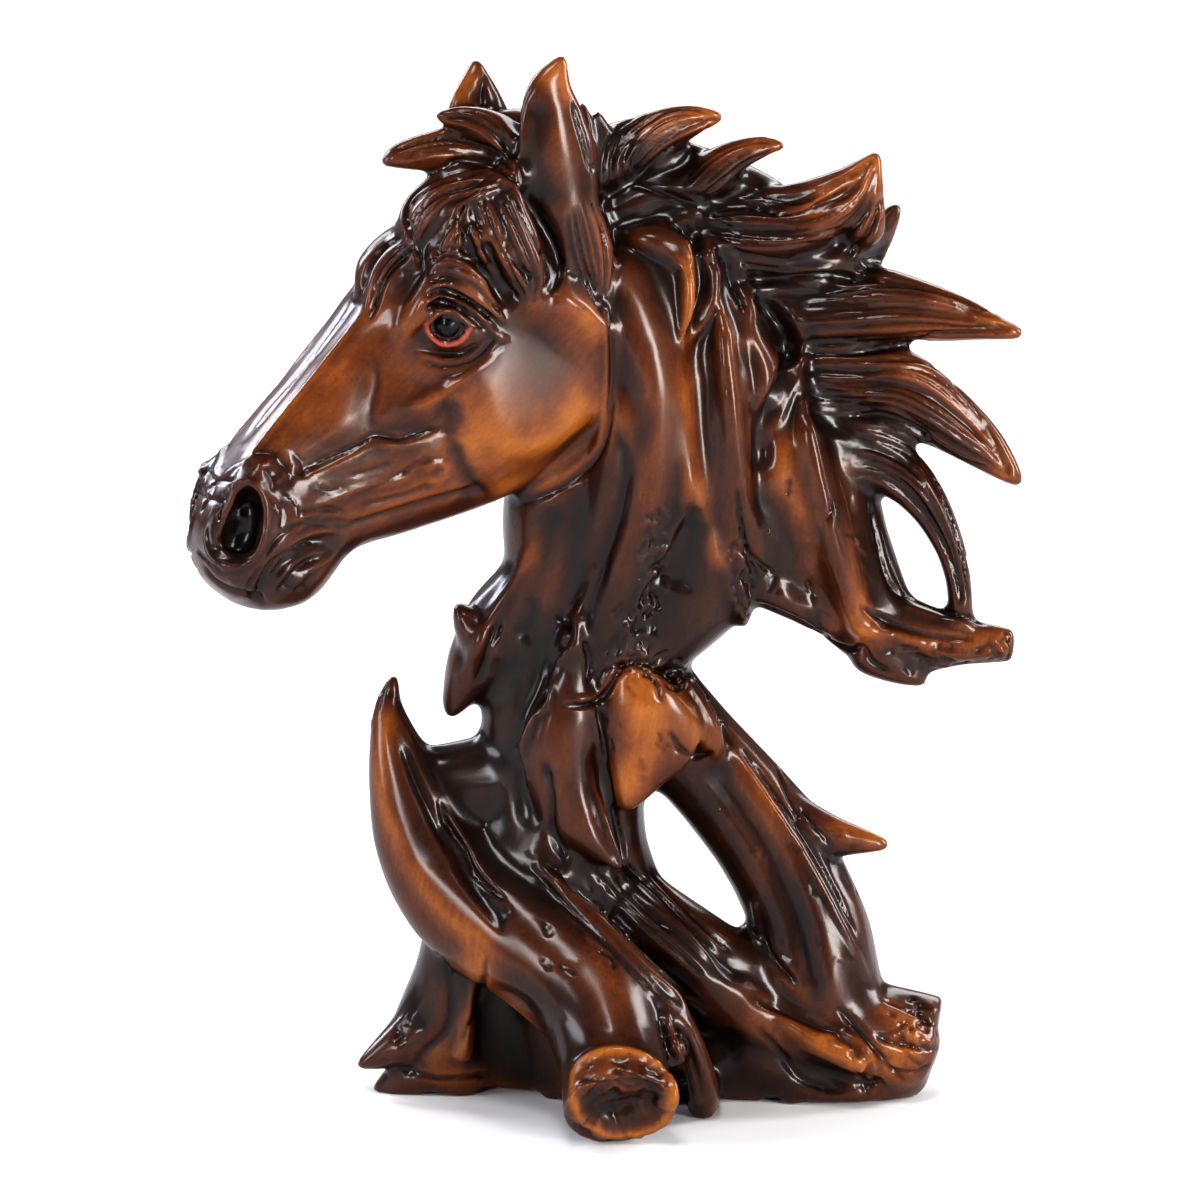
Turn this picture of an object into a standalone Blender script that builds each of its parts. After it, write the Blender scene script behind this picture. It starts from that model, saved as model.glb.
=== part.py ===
"""A horse head figurine on a root-shaped stand, cast as one solid piece of resin.

The figure is built the way a modeller works in clay. Tapered limbs block in the head, neck,
trunk and roots, and are fused and smoothed. Locks, ears and torn bark flakes are laid on and
fused again, and strokes press in or raise the carving. Everything is a share of the height.
"""

import math

import bmesh
import bpy
import numpy as np
from mathutils import Vector

# Driving sizes, in metres and degrees
FIGURE_HEIGHT = 0.266
HEAD_TURN = math.radians(24)
HEAD_PITCH = math.radians(45)
FINAL_TRIANGLES = 9600

# Every place and radius below is in 266ths of the height, which are millimetres at this size
UNIT = FIGURE_HEIGHT / 266
CORE_VOXEL = 1.6 * UNIT
FINE_VOXEL = 1.1 * UNIT
CORE_SMOOTHING = 7
FINE_SMOOTHING = 2
LIMB_SIDES = 14
LIMB_STEPS = 5
HEAD_STEPS = 4
OUTLINE_STEPS = 3
STEEP = 0.92
FACING_GAIN = 2.5
END_DOME = [(1.0, 0.0), (0.87, 0.5), (0.5, 0.87)]

# The head pivots here, and its axis runs down the face from the poll
PIVOT_X = 5
POLL_FORWARD = 16
POLL_HEIGHT = 233
HEAD_STROKES_FROM = 0

# Middle of the figure's outline on the ground, across and back
OUTLINE_MIDDLE = (2.11, -15.79)

RESIN_COLOR = (0.20, 0.065, 0.02, 1)
RESIN_ROUGHNESS = 0.28

# Stations of a limb: across the view, up, back, half width in the view, half thickness
CORE_LIMBS = {
    "neck": [
        (6, 224, 0, 14, 11), (14, 208, 0, 24, 17), (22, 184, 0, 31, 20), (24, 161, 0, 32, 21),
        (13, 138, 0, 28, 19), (1, 117, 0, 21.5, 17), (-2, 96, 0, 20, 16),
    ],
    "throat": [
        (-7, 168, -2, 15, 15), (-11, 148, -2, 14, 15), (-14.2, 133, -2, 11, 14),
        (-23, 120, -2, 12.5, 12), (-31, 111, -2, 8.5, 8), (-36.5, 102, -2, 4, 4),
    ],
    "jugular": [
        (5, 208.5, -6, 10, 16), (10, 189, -8, 14, 17), (10, 166.5, -8, 15, 17),
        (6, 143.5, -6, 14, 16), (0, 122.5, -4, 14, 15),
    ],
    "shoulder": [(30, 167.5, 0, 22.5, 18), (45, 153, 0, 18.5, 15), (51, 139, 0, 14, 12)],
    "wing": [
        (47.5, 177, 4, 17, 14), (53, 159.5, 4, 15.5, 14), (58, 141.5, 3, 14.5, 13),
        (64.5, 127, 2, 13.5, 11), (73, 119, 0, 10.6, 9), (86, 117, -2, 7.8, 7),
    ],
    "mane": [
        (4, 234, 2, 10, 9), (18, 229, 3, 14, 11), (36, 217, 3, 18, 11), (51, 199, 3, 22, 11),
        (60, 181, 3, 19, 10), (64, 166, 3, 11, 8),
    ],
    "trunk": [
        (-2.5, 117, 0, 21, 17), (-6.5, 97, 0, 23.5, 17), (-9.5, 75.5, 0, 21, 18),
        (-11, 57.5, 0, 25.8, 20), (-9, 36.5, 3, 27, 21), (-3, 13, 6, 28, 21), (2, -2, 8, 29, 20),
    ],
    "horn": [
        (-52.5, 94.5, -3, 5.8, 6), (-49, 80.5, -5, 9.7, 9), (-43.5, 66, -7, 13.6, 11),
        (-33, 52, -12, 15.6, 13), (-15, 40.5, -20, 15.5, 14), (-1, 29, -30, 14.5, 13),
        (3.5, 17, -38, 14, 13),
    ],
    "saddle": [(-42.5, 79, -1, 11, 8), (-27.5, 80, -1, 13, 11), (-10, 78, 0, 17, 14)],
    "saddle_low": [(-38, 58, -2, 13, 9), (-22.5, 56, -3, 15, 13), (-5, 53.5, -4, 15, 17)],
    "left_foot": [
        (-33, 49.5, 2, 11, 12), (-36.5, 38, 2, 9, 12), (-37, 26.5, 3, 12, 14),
        (-38.5, 13.5, 5, 15, 14), (-38, 0, 7, 14.5, 13),
    ],
    "low_wall": [(-41, 0, 11, 9, 10), (-20, 0, 13, 10, 9), (5, 3, 7, 12, 20)],
    "branch": [
        (13, 101.5, 2, 12.8, 12), (21, 90.8, 2, 13.3, 12), (32, 78.4, 2, 13.7, 12),
        (42.4, 65.7, 1, 14.5, 13), (49, 53, 0, 14.5, 14), (53, 42.5, 0, 15.5, 16),
        (54, 30, 0, 17.5, 18), (54, 14.5, 1, 21, 18), (54, 0, 4, 25, 16),
    ],
    "right_foot": [(55.5, 22, -3, 13, 15), (68, 16, -4, 12, 14), (75, 13, -5, 12, 13)],
    "sill": [(5, 8, 2, 14, 22), (25.5, 10, 3, 14, 18), (45.5, 9, 3, 15, 16)],
    "apron": [
        (10, 46, -6, 12, 16), (23, 37.5, -8, 12, 15), (34, 29, -6, 12.5, 15), (44, 14.5, -3, 13, 15),
    ],
}

# Rings of the head: along the face, brow line, jaw line, half widths from the brow line down
HEAD_RINGS = [
    (-6, 8, -6, (3, 8, 10, 11, 10, 8, 3)),
    (6, 18, -18, (5, 12, 16, 17, 16, 12, 4)),
    (20, 19, -30, (6, 14, 20, 20, 19, 14, 4)),
    (36, 20.5, -42, (7.5, 16, 22.5, 20.5, 21, 16, 4)),
    (48, 21, -46, (8.5, 15.5, 21, 19, 21, 17, 4)),
    (58, 20, -45, (8.5, 12.5, 16.5, 17, 20, 16, 4)),
    (68, 19, -42.3, (8.5, 11, 13.5, 15.5, 17, 13, 4)),
    (80, 18.3, -35.3, (8.5, 10.5, 13, 14, 13.5, 10.5, 4)),
    (92, 18.2, -28, (8.5, 10, 12, 13, 12, 9, 4)),
    (102, 17.3, -21.5, (8.5, 10, 12.5, 13.5, 12, 9.5, 4)),
    (110, 17, -21.5, (8, 12, 15, 16, 13, 11, 5)),
    (117, 15.2, -21.8, (7, 12.5, 16, 16.5, 13.5, 11, 5)),
    (124, 12.2, -18.5, (6, 11.5, 14, 15, 13, 9.5, 5)),
    (129.5, 6.8, -12.5, (5, 9, 11, 12, 11, 8, 4)),
    (132, 3, -7, (3, 5, 6, 6, 6, 5, 3)),
]
RING_LEVELS = (0, 0.08, 0.26, 0.46, 0.66, 0.87, 1)

# Fleshy forms on both sides of the head: along the face, above its axis, out from the middle
HEAD_PAIRS = {
    "cheek": [
        (40, -18, 4, 25.5, 25.5), (42, -18.5, 13, 25, 25), (44, -19, 18, 21.5, 21.5),
        (44, -19, 21.5, 14, 14),
    ],
}
HEAD_DETAILS = {
    "brow": [(39, 14, 15, 3.5, 4), (46, 14, 18, 3, 4), (53, 12.5, 16.5, 2.5, 3.5), (58, 9, 13, 2, 3)],
    "crest": [
        (47, -7, 15, 2, 2), (55, -9, 15.5, 2.6, 3), (64, -6.5, 14.5, 2.8, 3.3), (73, -2, 12, 2.6, 3),
        (84, 4, 10, 2, 3),
    ],
    "nostril_wing": [
        (104, 14, 9, 2.2, 4), (111, 14.8, 11, 2.4, 4), (118, 12.8, 11.5, 2.4, 4), (123, 9.5, 11, 2, 3),
    ],
    "nostril": [
        (115, 13, 9, 2.2, 3), (110.5, 13.5, 11.5, 2.4, 3), (108, 10.5, 13, 2.4, 3),
        (110.5, 6.5, 13.5, 2.4, 3), (116, 4, 13, 2.4, 3), (122, 2.5, 11.5, 2.2, 3), (126, 4.5, 9, 2, 3),
    ],
}

# Ears and locks of the head, as stations in the same terms
HEAD_LOCKS = {
    "near_ear": [
        (14, -9.5, 17, 5, 5), (8.5, -2.5, 17, 7.5, 6), (5, 5, 17, 10, 5.5), (0, 12.5, 18, 10.6, 5),
        (-5, 20, 18, 9.1, 4.5), (-10.5, 25.5, 18, 6.1, 3.5), (-17, 28, 18, 2, 2),
    ],
    "far_ear": [
        (10, 8, -16, 8, 6), (5, 14.5, -17, 9, 5), (0.5, 20, -18, 9, 4.5), (-4, 25, -18, 6.6, 3.5),
        (-9.5, 30, -19, 1.8, 1.8),
    ],
    "lock_front": [
        (2.5, 14.5, 2, 6, 7), (9.5, 21.5, 2, 5.5, 7), (17.6, 30.9, 2, 5, 6), (24, 36.3, 2, 3.6, 5),
        (28, 38.5, 2, 2, 2.5),
    ],
    "lock_upper": [
        (3.5, 16.5, 8, 6.5, 7), (4.5, 25, 6, 5, 6), (7.5, 32.5, 5, 3, 4), (11.5, 37, 4, 1.4, 2),
    ],
    "lock_dome_1": [
        (14, 14, 6, 6, 8), (22, 21.5, 6, 5.5, 8), (29.5, 24.8, 6, 4.8, 7), (36, 24.2, 6, 3.4, 5),
        (40.5, 21, 6, 1.6, 2),
    ],
    "lock_dome_2": [
        (15.5, 17, 14, 5, 7), (24, 24, 13, 4.8, 7), (32, 25, 12.5, 4.2, 6), (39, 22, 12, 3.2, 4),
        (45, 17, 12, 1.6, 2),
    ],
    "lock_dome_3": [
        (15, 17, 18, 4, 6), (23, 21.5, 19, 4, 5), (30, 20, 19, 3.5, 5), (35.5, 17.5, 19, 2.6, 4),
        (40, 15, 18, 1.5, 2),
    ],
    "lock_brow_1": [
        (33, 19.5, -2, 4, 6), (42.5, 22.5, 0, 3.8, 6), (49.5, 23.5, 1, 2.8, 5), (55.5, 21, 1, 1.5, 2.5),
    ],
    "lock_brow_2": [
        (35.5, 21, 5, 3.5, 6), (44, 21.8, 6, 3.2, 5), (52.5, 20.8, 6.5, 2.4, 4), (58.5, 18.5, 6.5, 1.3, 2),
    ],
    "lock_side": [
        (13, 16, 16, 6.5, 6), (19.5, 14, 19, 8, 6), (24, 8.5, 21.5, 8, 5.5),
        (27, 1.5, 23, 6.2, 4.5), (30, -5.5, 22.5, 2.8, 3),
    ],
    "lock_eye": [
        (39, 17, 17.5, 3, 4), (37, 12, 20, 3.6, 4), (37, 5.5, 21.5, 2.8, 3.5), (38, -2, 21.5, 1.3, 2),
    ],
    "lock_ear": [
        (6, -7, 16, 4.5, 5), (11, -15, 16, 4.5, 5), (17, -20, 16, 3, 4), (22, -22.5, 16, 1.5, 2),
    ],
}
FAR_LOCKS = {
    "lock_far_1": [
        (13, 13, -8, 6, 7), (24, 18, -9, 5, 7), (34, 18, -10, 4, 5), (42, 15.5, -11, 1.6, 2),
    ],
    "lock_far_2": [
        (14, 10, -15, 6.5, 6), (23, 8, -17.5, 7, 6), (27, 1, -19.5, 5, 5), (29, -6, -20, 2, 2.5),
    ],
    "lock_far_3": [(32, 15, -15, 3.5, 5), (38, 10, -18, 4, 4), (39, 3, -19.5, 1.6, 2)],
}

# Mane flames, neck folds and bark flakes of the rest of the figure
LOCKS = {
    "flame_1": [
        (1, 236.5, 0, 10, 9), (8, 241, -2, 7.3, 8), (15, 245, -2, 5.5, 6),
        (22.5, 247.5, -2, 4.2, 4), (29, 248.3, -2, 2, 2),
    ],
    "tuft_1": [(-3.5, 240, -10, 3.5, 4), (-3.5, 247, -11, 2.2, 3), (-4.5, 253, -12, 1.2, 1.5)],
    "tuft_2": [(3, 240, -6, 3.5, 4), (1, 245, -7, 2, 3), (-0.5, 250, -8, 1.2, 1.5)],
    "poll_hair": [(-31, 240, 0, 6, 7), (-22, 244, -3, 7, 8), (-10, 241, -5, 7, 8), (2, 237, -4, 8, 8)],
    "flame_2": [
        (22, 228, -3, 8.5, 8), (28, 235, -4, 5.8, 7), (34, 239.5, -5, 4, 4.5),
        (40, 241.5, -5, 3, 3), (44.5, 241.5, -5, 1.7, 2),
    ],
    "flame_3": [
        (27.5, 217, -3, 13, 9), (43, 221, -4, 10.8, 9), (55, 226, -5, 8.6, 8),
        (62.5, 231.5, -4, 5.8, 6), (67.5, 238, -3, 2.4, 2.5),
    ],
    "flame_3_back": [(65.5, 221, -2, 5.5, 6), (66.8, 229, -3, 3.6, 4), (67.8, 236, -3, 1.8, 2)],
    "flame_4": [
        (54.5, 209.5, 6, 11, 7), (64, 214.5, 7, 8.2, 6), (70, 219.5, 8, 4.4, 4.5), (73.5, 224.5, 8, 2, 2),
    ],
    "flame_5": [
        (48.5, 200, 2, 15, 10), (67, 200.5, 0, 11.5, 9), (81.5, 199.5, -2, 7.8, 7),
        (93.5, 197.5, -3, 4.6, 5), (103, 195, -4, 2.2, 2.5),
    ],
    "flame_6": [
        (54.5, 184, 2, 12.5, 10), (71, 181, 0, 11.5, 9), (85.5, 173.5, -1, 8.4, 7.5),
        (96, 165.5, -2, 5.8, 5), (103.5, 158, -3, 2.3, 2.5),
    ],
    "flame_7": [
        (61, 167, 0, 9.5, 9), (73.5, 160.5, -1, 7.4, 7), (81.5, 152, -2, 5.4, 6),
        (87, 141.5, -3, 4, 5), (89.5, 132, -3, 3.4, 4), (90, 121, -3, 3.2, 4),
    ],
    "wing_tip": [
        (74, 119.5, -1, 9.6, 8), (84, 117.7, -2, 7.4, 7), (93, 116.8, -3, 5.7, 5.5),
        (103.5, 116.3, -4, 4.5, 4),
    ],
    "wing_hem": [
        (27, 133, -2, 5, 6), (38, 132.5, -3, 5.8, 8), (48, 129, -3, 6.2, 8), (57, 123.5, -3, 5.5, 6),
    ],
    "wing_drip": [(68, 114, -4, 6, 6), (75, 110, -5, 4, 4), (80, 107.5, -5, 2, 2.5)],
    "fold_1": [
        (10, 220.5, -12, 4, 5), (22, 214.5, -15, 4, 5), (22, 201, -16, 2.5, 5), (20, 191, -16, 1.5, 4),
    ],
    "fold_2": [
        (26, 213.5, -11, 4.5, 6), (29, 199.5, -13, 4.5, 6), (31, 180, -15, 4, 6),
        (34, 159.5, -14, 3.5, 6), (36, 141.5, -11, 2.5, 5),
    ],
    "fold_3": [
        (49.5, 188.5, -6, 3, 5), (49.5, 174, -8, 5, 6), (53, 159, -9, 5.5, 6),
        (58, 142.5, -9, 5, 6), (63.5, 126, -7, 4.5, 5), (70, 118, -6, 3, 5),
    ],
    "fold_4": [
        (20, 186, -10, 6, 11), (21, 168, -10, 7, 12), (26, 151, -9, 6, 12), (32, 137, -8, 4.5, 9),
        (35, 128, -6, 3, 6), (35.5, 123, -5, 2, 4),
    ],
    "throat_drip": [(-28, 115, -4, 9, 8), (-33, 108, -4, 6, 6), (-37, 99.5, -3, 2.5, 3)],
    "knob_left": [(-29, 118, -8, 6, 7), (-33, 123, -9, 4.2, 5), (-35, 126.5, -9, 2.2, 3)],
    "knob_right": [(16.5, 113, 2, 5, 6), (22.5, 118, 0, 3.5, 5), (24.5, 122.5, 0, 2.2, 3)],
    "drop_1": [(-3, 128, -15, 3, 4), (-7, 119, -17, 3.5, 4), (-9, 111, -17, 1.6, 2)],
    "leaf": [
        (-7, 117, -16, 3.5, 3), (-8.5, 105.5, -17, 7.5, 4), (-11, 94, -18, 10, 4),
        (-8.5, 81.5, -18, 9, 4), (-1, 70.5, -19, 5, 4), (5, 63, -20, 1.7, 2),
    ],
    "leaf_barb": [(-10, 98, -17, 6, 3.5), (-16, 94, -18, 3.8, 3), (-21, 91, -18, 1.4, 2)],
    "patch": [
        (5, 113, -14, 3.5, 3), (10, 104, -16, 10, 4), (12, 95, -15, 13, 4), (9, 86, -15, 8, 4),
        (6.5, 79, -16, 3.5, 3),
    ],
    "patch_tail": [(20, 106, -10, 5, 4), (26.5, 96, -10, 4.5, 4), (29, 90.5, -10, 2, 3)],
    "horn_tip": [
        (-49.5, 82, -5, 9, 8), (-52, 93, -3, 6.2, 6), (-53, 101, -2, 3.6, 3.5),
        (-51.5, 107.5, -2, 1.6, 1.8),
    ],
    "root_end": [(-1, 29, -30, 14, 12.5), (3, 18, -40, 13.8, 12), (4.8, 9.5, -53, 14.4, 12.2)],
    "ridge_1": [
        (-15, 62, -16, 2.5, 4), (-6, 54, -21, 3.5, 5), (5, 44, -27, 3.5, 5),
        (16, 32.5, -30, 3.5, 5), (22.5, 20, -30, 3.8, 6), (25.5, 9, -27, 4, 7), (26, 2, -16, 4.5, 8),
    ],
    "ridge_2": [(-34, 37, -6, 3.5, 6), (-22.5, 38.5, -14, 4, 6), (-11, 36, -24, 4, 6)],
    "ridge_3": [(-31, 36, -8, 3.5, 5), (-32, 26, -9, 3.5, 5), (-34, 12, -8, 3, 5)],
    "left_spike": [
        (-38, 18.5, 0, 10, 10), (-46.5, 15, -1, 7.5, 8), (-54.5, 11, -3, 4.4, 5),
        (-60.5, 8, -4, 1.8, 2.5),
    ],
    "left_toe": [(-42, 7, 2, 10, 10), (-50, 3, 1, 5.5, 7), (-55, 0, 1, 3.2, 4)],
    "branch_spike": [(48, 70, -2, 8, 7), (60, 67, -4, 4.8, 5), (71, 65.5, -5, 2.2, 2.5)],
    "right_end": [(62, 17, 0, 13, 13), (76, 15, 0, 12, 12), (85, 13.5, -1, 11.5, 11)],
    "stub": [(42, 26, -10, 4.5, 6), (54, 19, -15, 5, 7), (62.5, 14.5, -17, 5, 6), (67.5, 12, -18, 4, 5)],
    "toe_right": [(48, 6, -4, 12, 11), (62, 5, -5, 12, 10), (77, 6, -3, 7, 8)],
}
BLUNT_ENDS = ("root_end", "right_end", "wing_tip", "stub")

# Strokes pressed in (or raised, below nought): depth, reach, then the places they pass
NECK_STROKES = [
    (3.2, 3.2, [(19, 218), (26, 213), (28, 203), (24, 193)]),
    (2.4, 2.6, [(32, 209), (35, 199)]),
    (3.6, 3.6, [(43, 199), (50, 189), (48, 180), (42, 167)]),
    (2.0, 3.5, [(3, 194), (10, 176), (6, 158), (0, 141), (-4, 126)]),
    (2.2, 3.2, [(25, 188), (26, 171), (29, 152), (34, 134)]),
    (2.2, 3.8, [(40, 176), (42, 158), (48, 141), (54, 124)]),
    (3.6, 5.5, [(22, 149), (18, 137), (12, 125)]),
    (1.8, 3.0, [(-12, 150), (-15, 134), (-19, 121)]),
    (1.8, 3.0, [(-14, 117), (-17, 103), (-20, 90), (-18, 76)]),
]
MANE_STROKES = [
    (2.2, 2.2, [(2, 229), (12, 235), (22, 238)]),
    (2.6, 2.4, [(5, 224), (22, 228), (38, 228), (50, 230)]),
    (2.0, 2.2, [(24, 222), (40, 221), (52, 224), (62, 232)]),
    (2.0, 2.2, [(30, 215), (46, 213), (58, 217), (66, 226)]),
    (2.6, 2.4, [(36, 209), (52, 206), (64, 210), (71, 214)]),
    (2.0, 2.2, [(42, 203), (60, 202), (76, 202), (92, 200)]),
    (2.6, 2.4, [(48, 193), (64, 192), (80, 192)]),
    (2.0, 2.2, [(51, 187), (66, 185), (82, 180), (94, 171)]),
    (2.0, 2.2, [(52, 181), (66, 176), (80, 170)]),
    (2.4, 2.2, [(53, 176), (66, 168), (78, 163)]),
    (1.8, 1.8, [(60, 167), (72, 160), (80, 151), (86, 140)]),
]
STAND_STROKES = [
    (2.4, 2.0, [(-39, 73), (-33, 62), (-25, 52)]),
    (1.8, 2.6, [(-1, 90), (1, 77), (4, 66)]),
    (2.2, 3.0, [(-4, 58), (8, 46), (20, 33)]),
    (2.0, 2.8, [(8, 60), (20, 47), (34, 36)]),
    (2.2, 3.2, [(33, 40), (46, 28), (58, 20)]),
    (2.0, 3.0, [(30, 84), (42, 66), (50, 48), (54, 30)]),
    (5.0, 8.0, [(-24, 26), (-22, 12), (-20, 4)]),
    (3.0, 2.6, [(21, 22), (24, 12), (26, 4)]),
    (3.2, 5.0, [(1, 12), (7, 11)]),
    (2.4, 3.0, [(32, 18), (46, 12), (60, 7)]),
]

# The same on both sides of the head: depth, reach, then places along the face and above its axis
HEAD_STROKES = [
    (2.6, 2.8, [(112.5, 13), (117, 12.5), (122, 8.5)]),
    (4.6, 3.8, [(115, 12), (118.5, 9.5), (121, 7.5)]),
    (1.8, 1.8, [(130, -9), (124.5, -5.5), (118.5, -5), (112, -6.5), (107.5, -9)]),
    (1.2, 1.8, [(114, -9.5), (107.5, -12.5), (102, -11.5)]),
    (2.6, 4.4, [(47, 6), (52, 5.5)]),
    (-2.4, 2.4, [(48.7, 5), (49.3, 5)]),
    (-1.4, 1.5, [(53, 11), (49, 9.8), (45.5, 7), (44, 3)]),
    (1.2, 1.5, [(47, 14), (42.5, 7.5), (41, 0.5)]),
    (-1.0, 1.5, [(54, 6), (52.8, 1.5), (49.5, -1.2), (45.5, -1.8)]),
    (1.2, 1.8, [(58, 7), (55, 0), (49, -4.5), (44, -5)]),
    (1.4, 2.2, [(70, -10), (74, -5.5), (81, 0), (89, 3.5), (97, 7)]),
    (0.9, 1.8, [(66.5, 10), (74, 5.5), (79.5, 0.5)]),
    (1.5, 2.6, [(63, -10), (68, -16), (71, -23), (73, -31)]),
    (1.2, 3.5, [(30, -3), (36, -2)]),
    (2.4, 1.8, [(24, 23), (28, 18), (31, 11), (34.5, -1)]),
    (1.6, 1.6, [(15.5, 18.5), (23, 21), (31, 20), (39, 15.5)]),
    (1.4, 1.6, [(20, 19), (25, 10.5), (28.5, -1)]),
    (1.8, 1.8, [(12, 12), (16, 1.5), (19, -5), (27, -9)]),
    (1.4, 1.6, [(13.5, 17), (21.5, 22), (30.5, 24), (39.5, 22)]),
    (2.2, 3.0, [(-3, 24.5), (4.5, 17.5), (10, 9.5)]),
]


def head_point(along, above, near):
    """The place of a point given along the face, above its axis and out to the near side."""
    forward = POLL_FORWARD + along * math.cos(HEAD_PITCH) + above * math.sin(HEAD_PITCH)
    up = POLL_HEIGHT - along * math.sin(HEAD_PITCH) + above * math.cos(HEAD_PITCH)
    return Vector((
        PIVOT_X - forward * math.cos(HEAD_TURN) + near * math.sin(HEAD_TURN),
        -forward * math.sin(HEAD_TURN) - near * math.cos(HEAD_TURN),
        up,
    ))


def figure_point(across, up, back):
    return Vector((across, back, up))


def smooth_stations(stations, steps):
    """Stations on a smooth curve through the given ones."""
    rows = np.array(stations, float)
    padded = np.vstack([2 * rows[0] - rows[1], rows, 2 * rows[-1] - rows[-2]])
    found = []
    for i in range(1, len(padded) - 2):
        before, start, end, after = padded[i - 1:i + 3]
        for step in range(steps):
            t = step / steps
            found.append(0.5 * (
                2 * start + (end - before) * t + (2 * before - 5 * start + 4 * end - after) * t * t
                + (3 * start - before - 3 * end + after) * t ** 3
            ))
    found.append(rows[-1])
    return np.array(found)


def join_rings(clay, rings):
    """Skins closed rings of points into one capped tube."""
    made = [[clay.verts.new(point) for point in ring] for ring in rings]
    count = len(made[0])
    for low, high in zip(made, made[1:]):
        for i in range(count):
            j = (i + 1) % count
            clay.faces.new((low[i], low[j], high[j], high[i]))
    clay.faces.new(made[0][::-1])
    clay.faces.new(made[-1])


def add_limb(clay, stations, place, blunt=False):
    """A tube through stations of (two places in the view, depth, half width, half thickness)."""
    rows = smooth_stations(stations, LIMB_STEPS)
    spine = rows[:, :3]
    tangents = np.gradient(spine, axis=0)
    tangents /= np.linalg.norm(tangents, axis=1)[:, None]
    rings = []
    last = len(rows) - 1
    for i, (row, tangent) in enumerate(zip(rows, tangents)):
        deep = np.array([0.0, 0.0, 1.0])
        if abs(tangent[2]) > STEEP:
            deep = np.array([0.0, 1.0, 0.0])
        deep -= tangent * deep.dot(tangent)
        deep /= np.linalg.norm(deep)
        wide = np.cross(deep, tangent)
        sizes = [(1.0, 0.0)]
        if i == 0:
            sizes = [(share, -reach) for share, reach in END_DOME[::-1]]
        elif i == last and not blunt:
            sizes = END_DOME
        for share, reach in sizes:
            centre = spine[i] + tangent * reach * min(row[3], row[4])
            ring = []
            for k in range(LIMB_SIDES):
                turn = 2 * math.pi * k / LIMB_SIDES
                ring.append(
                    centre + wide * row[3] * share * math.cos(turn)
                    + deep * row[4] * share * math.sin(turn)
                )
            rings.append(ring)
    join_rings(clay, [[place(*point) * UNIT for point in ring] for ring in rings])


def add_pair(clay, stations, blunt=False):
    for side in (1, -1):
        add_limb(clay, [(u, v, side * w, *radii) for u, v, w, *radii in stations], head_point, blunt)


def add_head(clay):
    """The skull and muzzle, skinned over rings square to the head's axis."""
    rows = smooth_stations([(s, top, low, *widths) for s, top, low, widths in HEAD_RINGS], HEAD_STEPS)
    rings = []
    for s, top, low, *widths in rows:
        side = [(top + (low - top) * level, width) for level, width in zip(RING_LEVELS, widths)]
        outline = smooth_stations(side, OUTLINE_STEPS)
        near = [head_point(s, above, width) * UNIT for above, width in outline]
        far = [head_point(s, above, -width) * UNIT for above, width in outline[::-1]]
        rings.append(near + far)
    join_rings(clay, rings)


def fused(clay, name, voxel, smoothing):
    """Fuses overlapping tubes into one skin and smooths it."""
    bmesh.ops.recalc_face_normals(clay, faces=clay.faces)
    mesh = bpy.data.meshes.new(name)
    clay.to_mesh(mesh)
    clay.free()
    figure = bpy.data.objects.new(name, mesh)
    bpy.context.scene.collection.objects.link(figure)
    remesh = figure.modifiers.new("Fuse", "REMESH")
    remesh.mode = "VOXEL"
    remesh.voxel_size = voxel
    smooth = figure.modifiers.new("Smooth", "SMOOTH")
    smooth.factor = 0.5
    smooth.iterations = round(smoothing)
    bpy.context.view_layer.update()
    evaluated = figure.evaluated_get(bpy.context.evaluated_depsgraph_get())
    done = bpy.data.meshes.new_from_object(evaluated)
    bpy.data.objects.remove(figure)
    bpy.data.meshes.remove(mesh)
    return done


def block_in():
    """The big masses of the figure."""
    clay = bmesh.new()
    for stations in CORE_LIMBS.values():
        add_limb(clay, stations, figure_point)
    add_head(clay)
    for stations in HEAD_PAIRS.values():
        add_pair(clay, stations, True)
    return fused(clay, "core", CORE_VOXEL, CORE_SMOOTHING)


def lay_on_details(core):
    """The smooth core with its locks, ears, brows, nostrils and torn bark laid on."""
    clay = bmesh.new()
    clay.from_mesh(core)
    for stations in HEAD_DETAILS.values():
        add_pair(clay, stations)
    for stations in [*HEAD_LOCKS.values(), *FAR_LOCKS.values()]:
        add_limb(clay, stations, head_point)
    for name, stations in LOCKS.items():
        add_limb(clay, stations, figure_point, name in BLUNT_ENDS)
    return fused(clay, "figure", FINE_VOXEL, FINE_SMOOTHING)


def read_vectors(mesh, name):
    values = np.empty(len(mesh.vertices) * 3)
    mesh.vertices.foreach_get(name, values)
    return values.reshape(-1, 3)


def stroke_reach(places, path, reach):
    """How strongly a stroke along a path touches each place in the view, from nought to one."""
    nearest = np.full(len(places), np.inf)
    for start, end in zip(path, path[1:]):
        start = np.array(start, float)
        run = np.array(end, float) - start
        share = np.clip(((places - start) @ run) / run.dot(run), 0, 1)
        offset = places - start - share[:, None] * run
        nearest = np.minimum(nearest, (offset ** 2).sum(axis=1))
    return np.exp(-nearest / reach ** 2)


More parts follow.
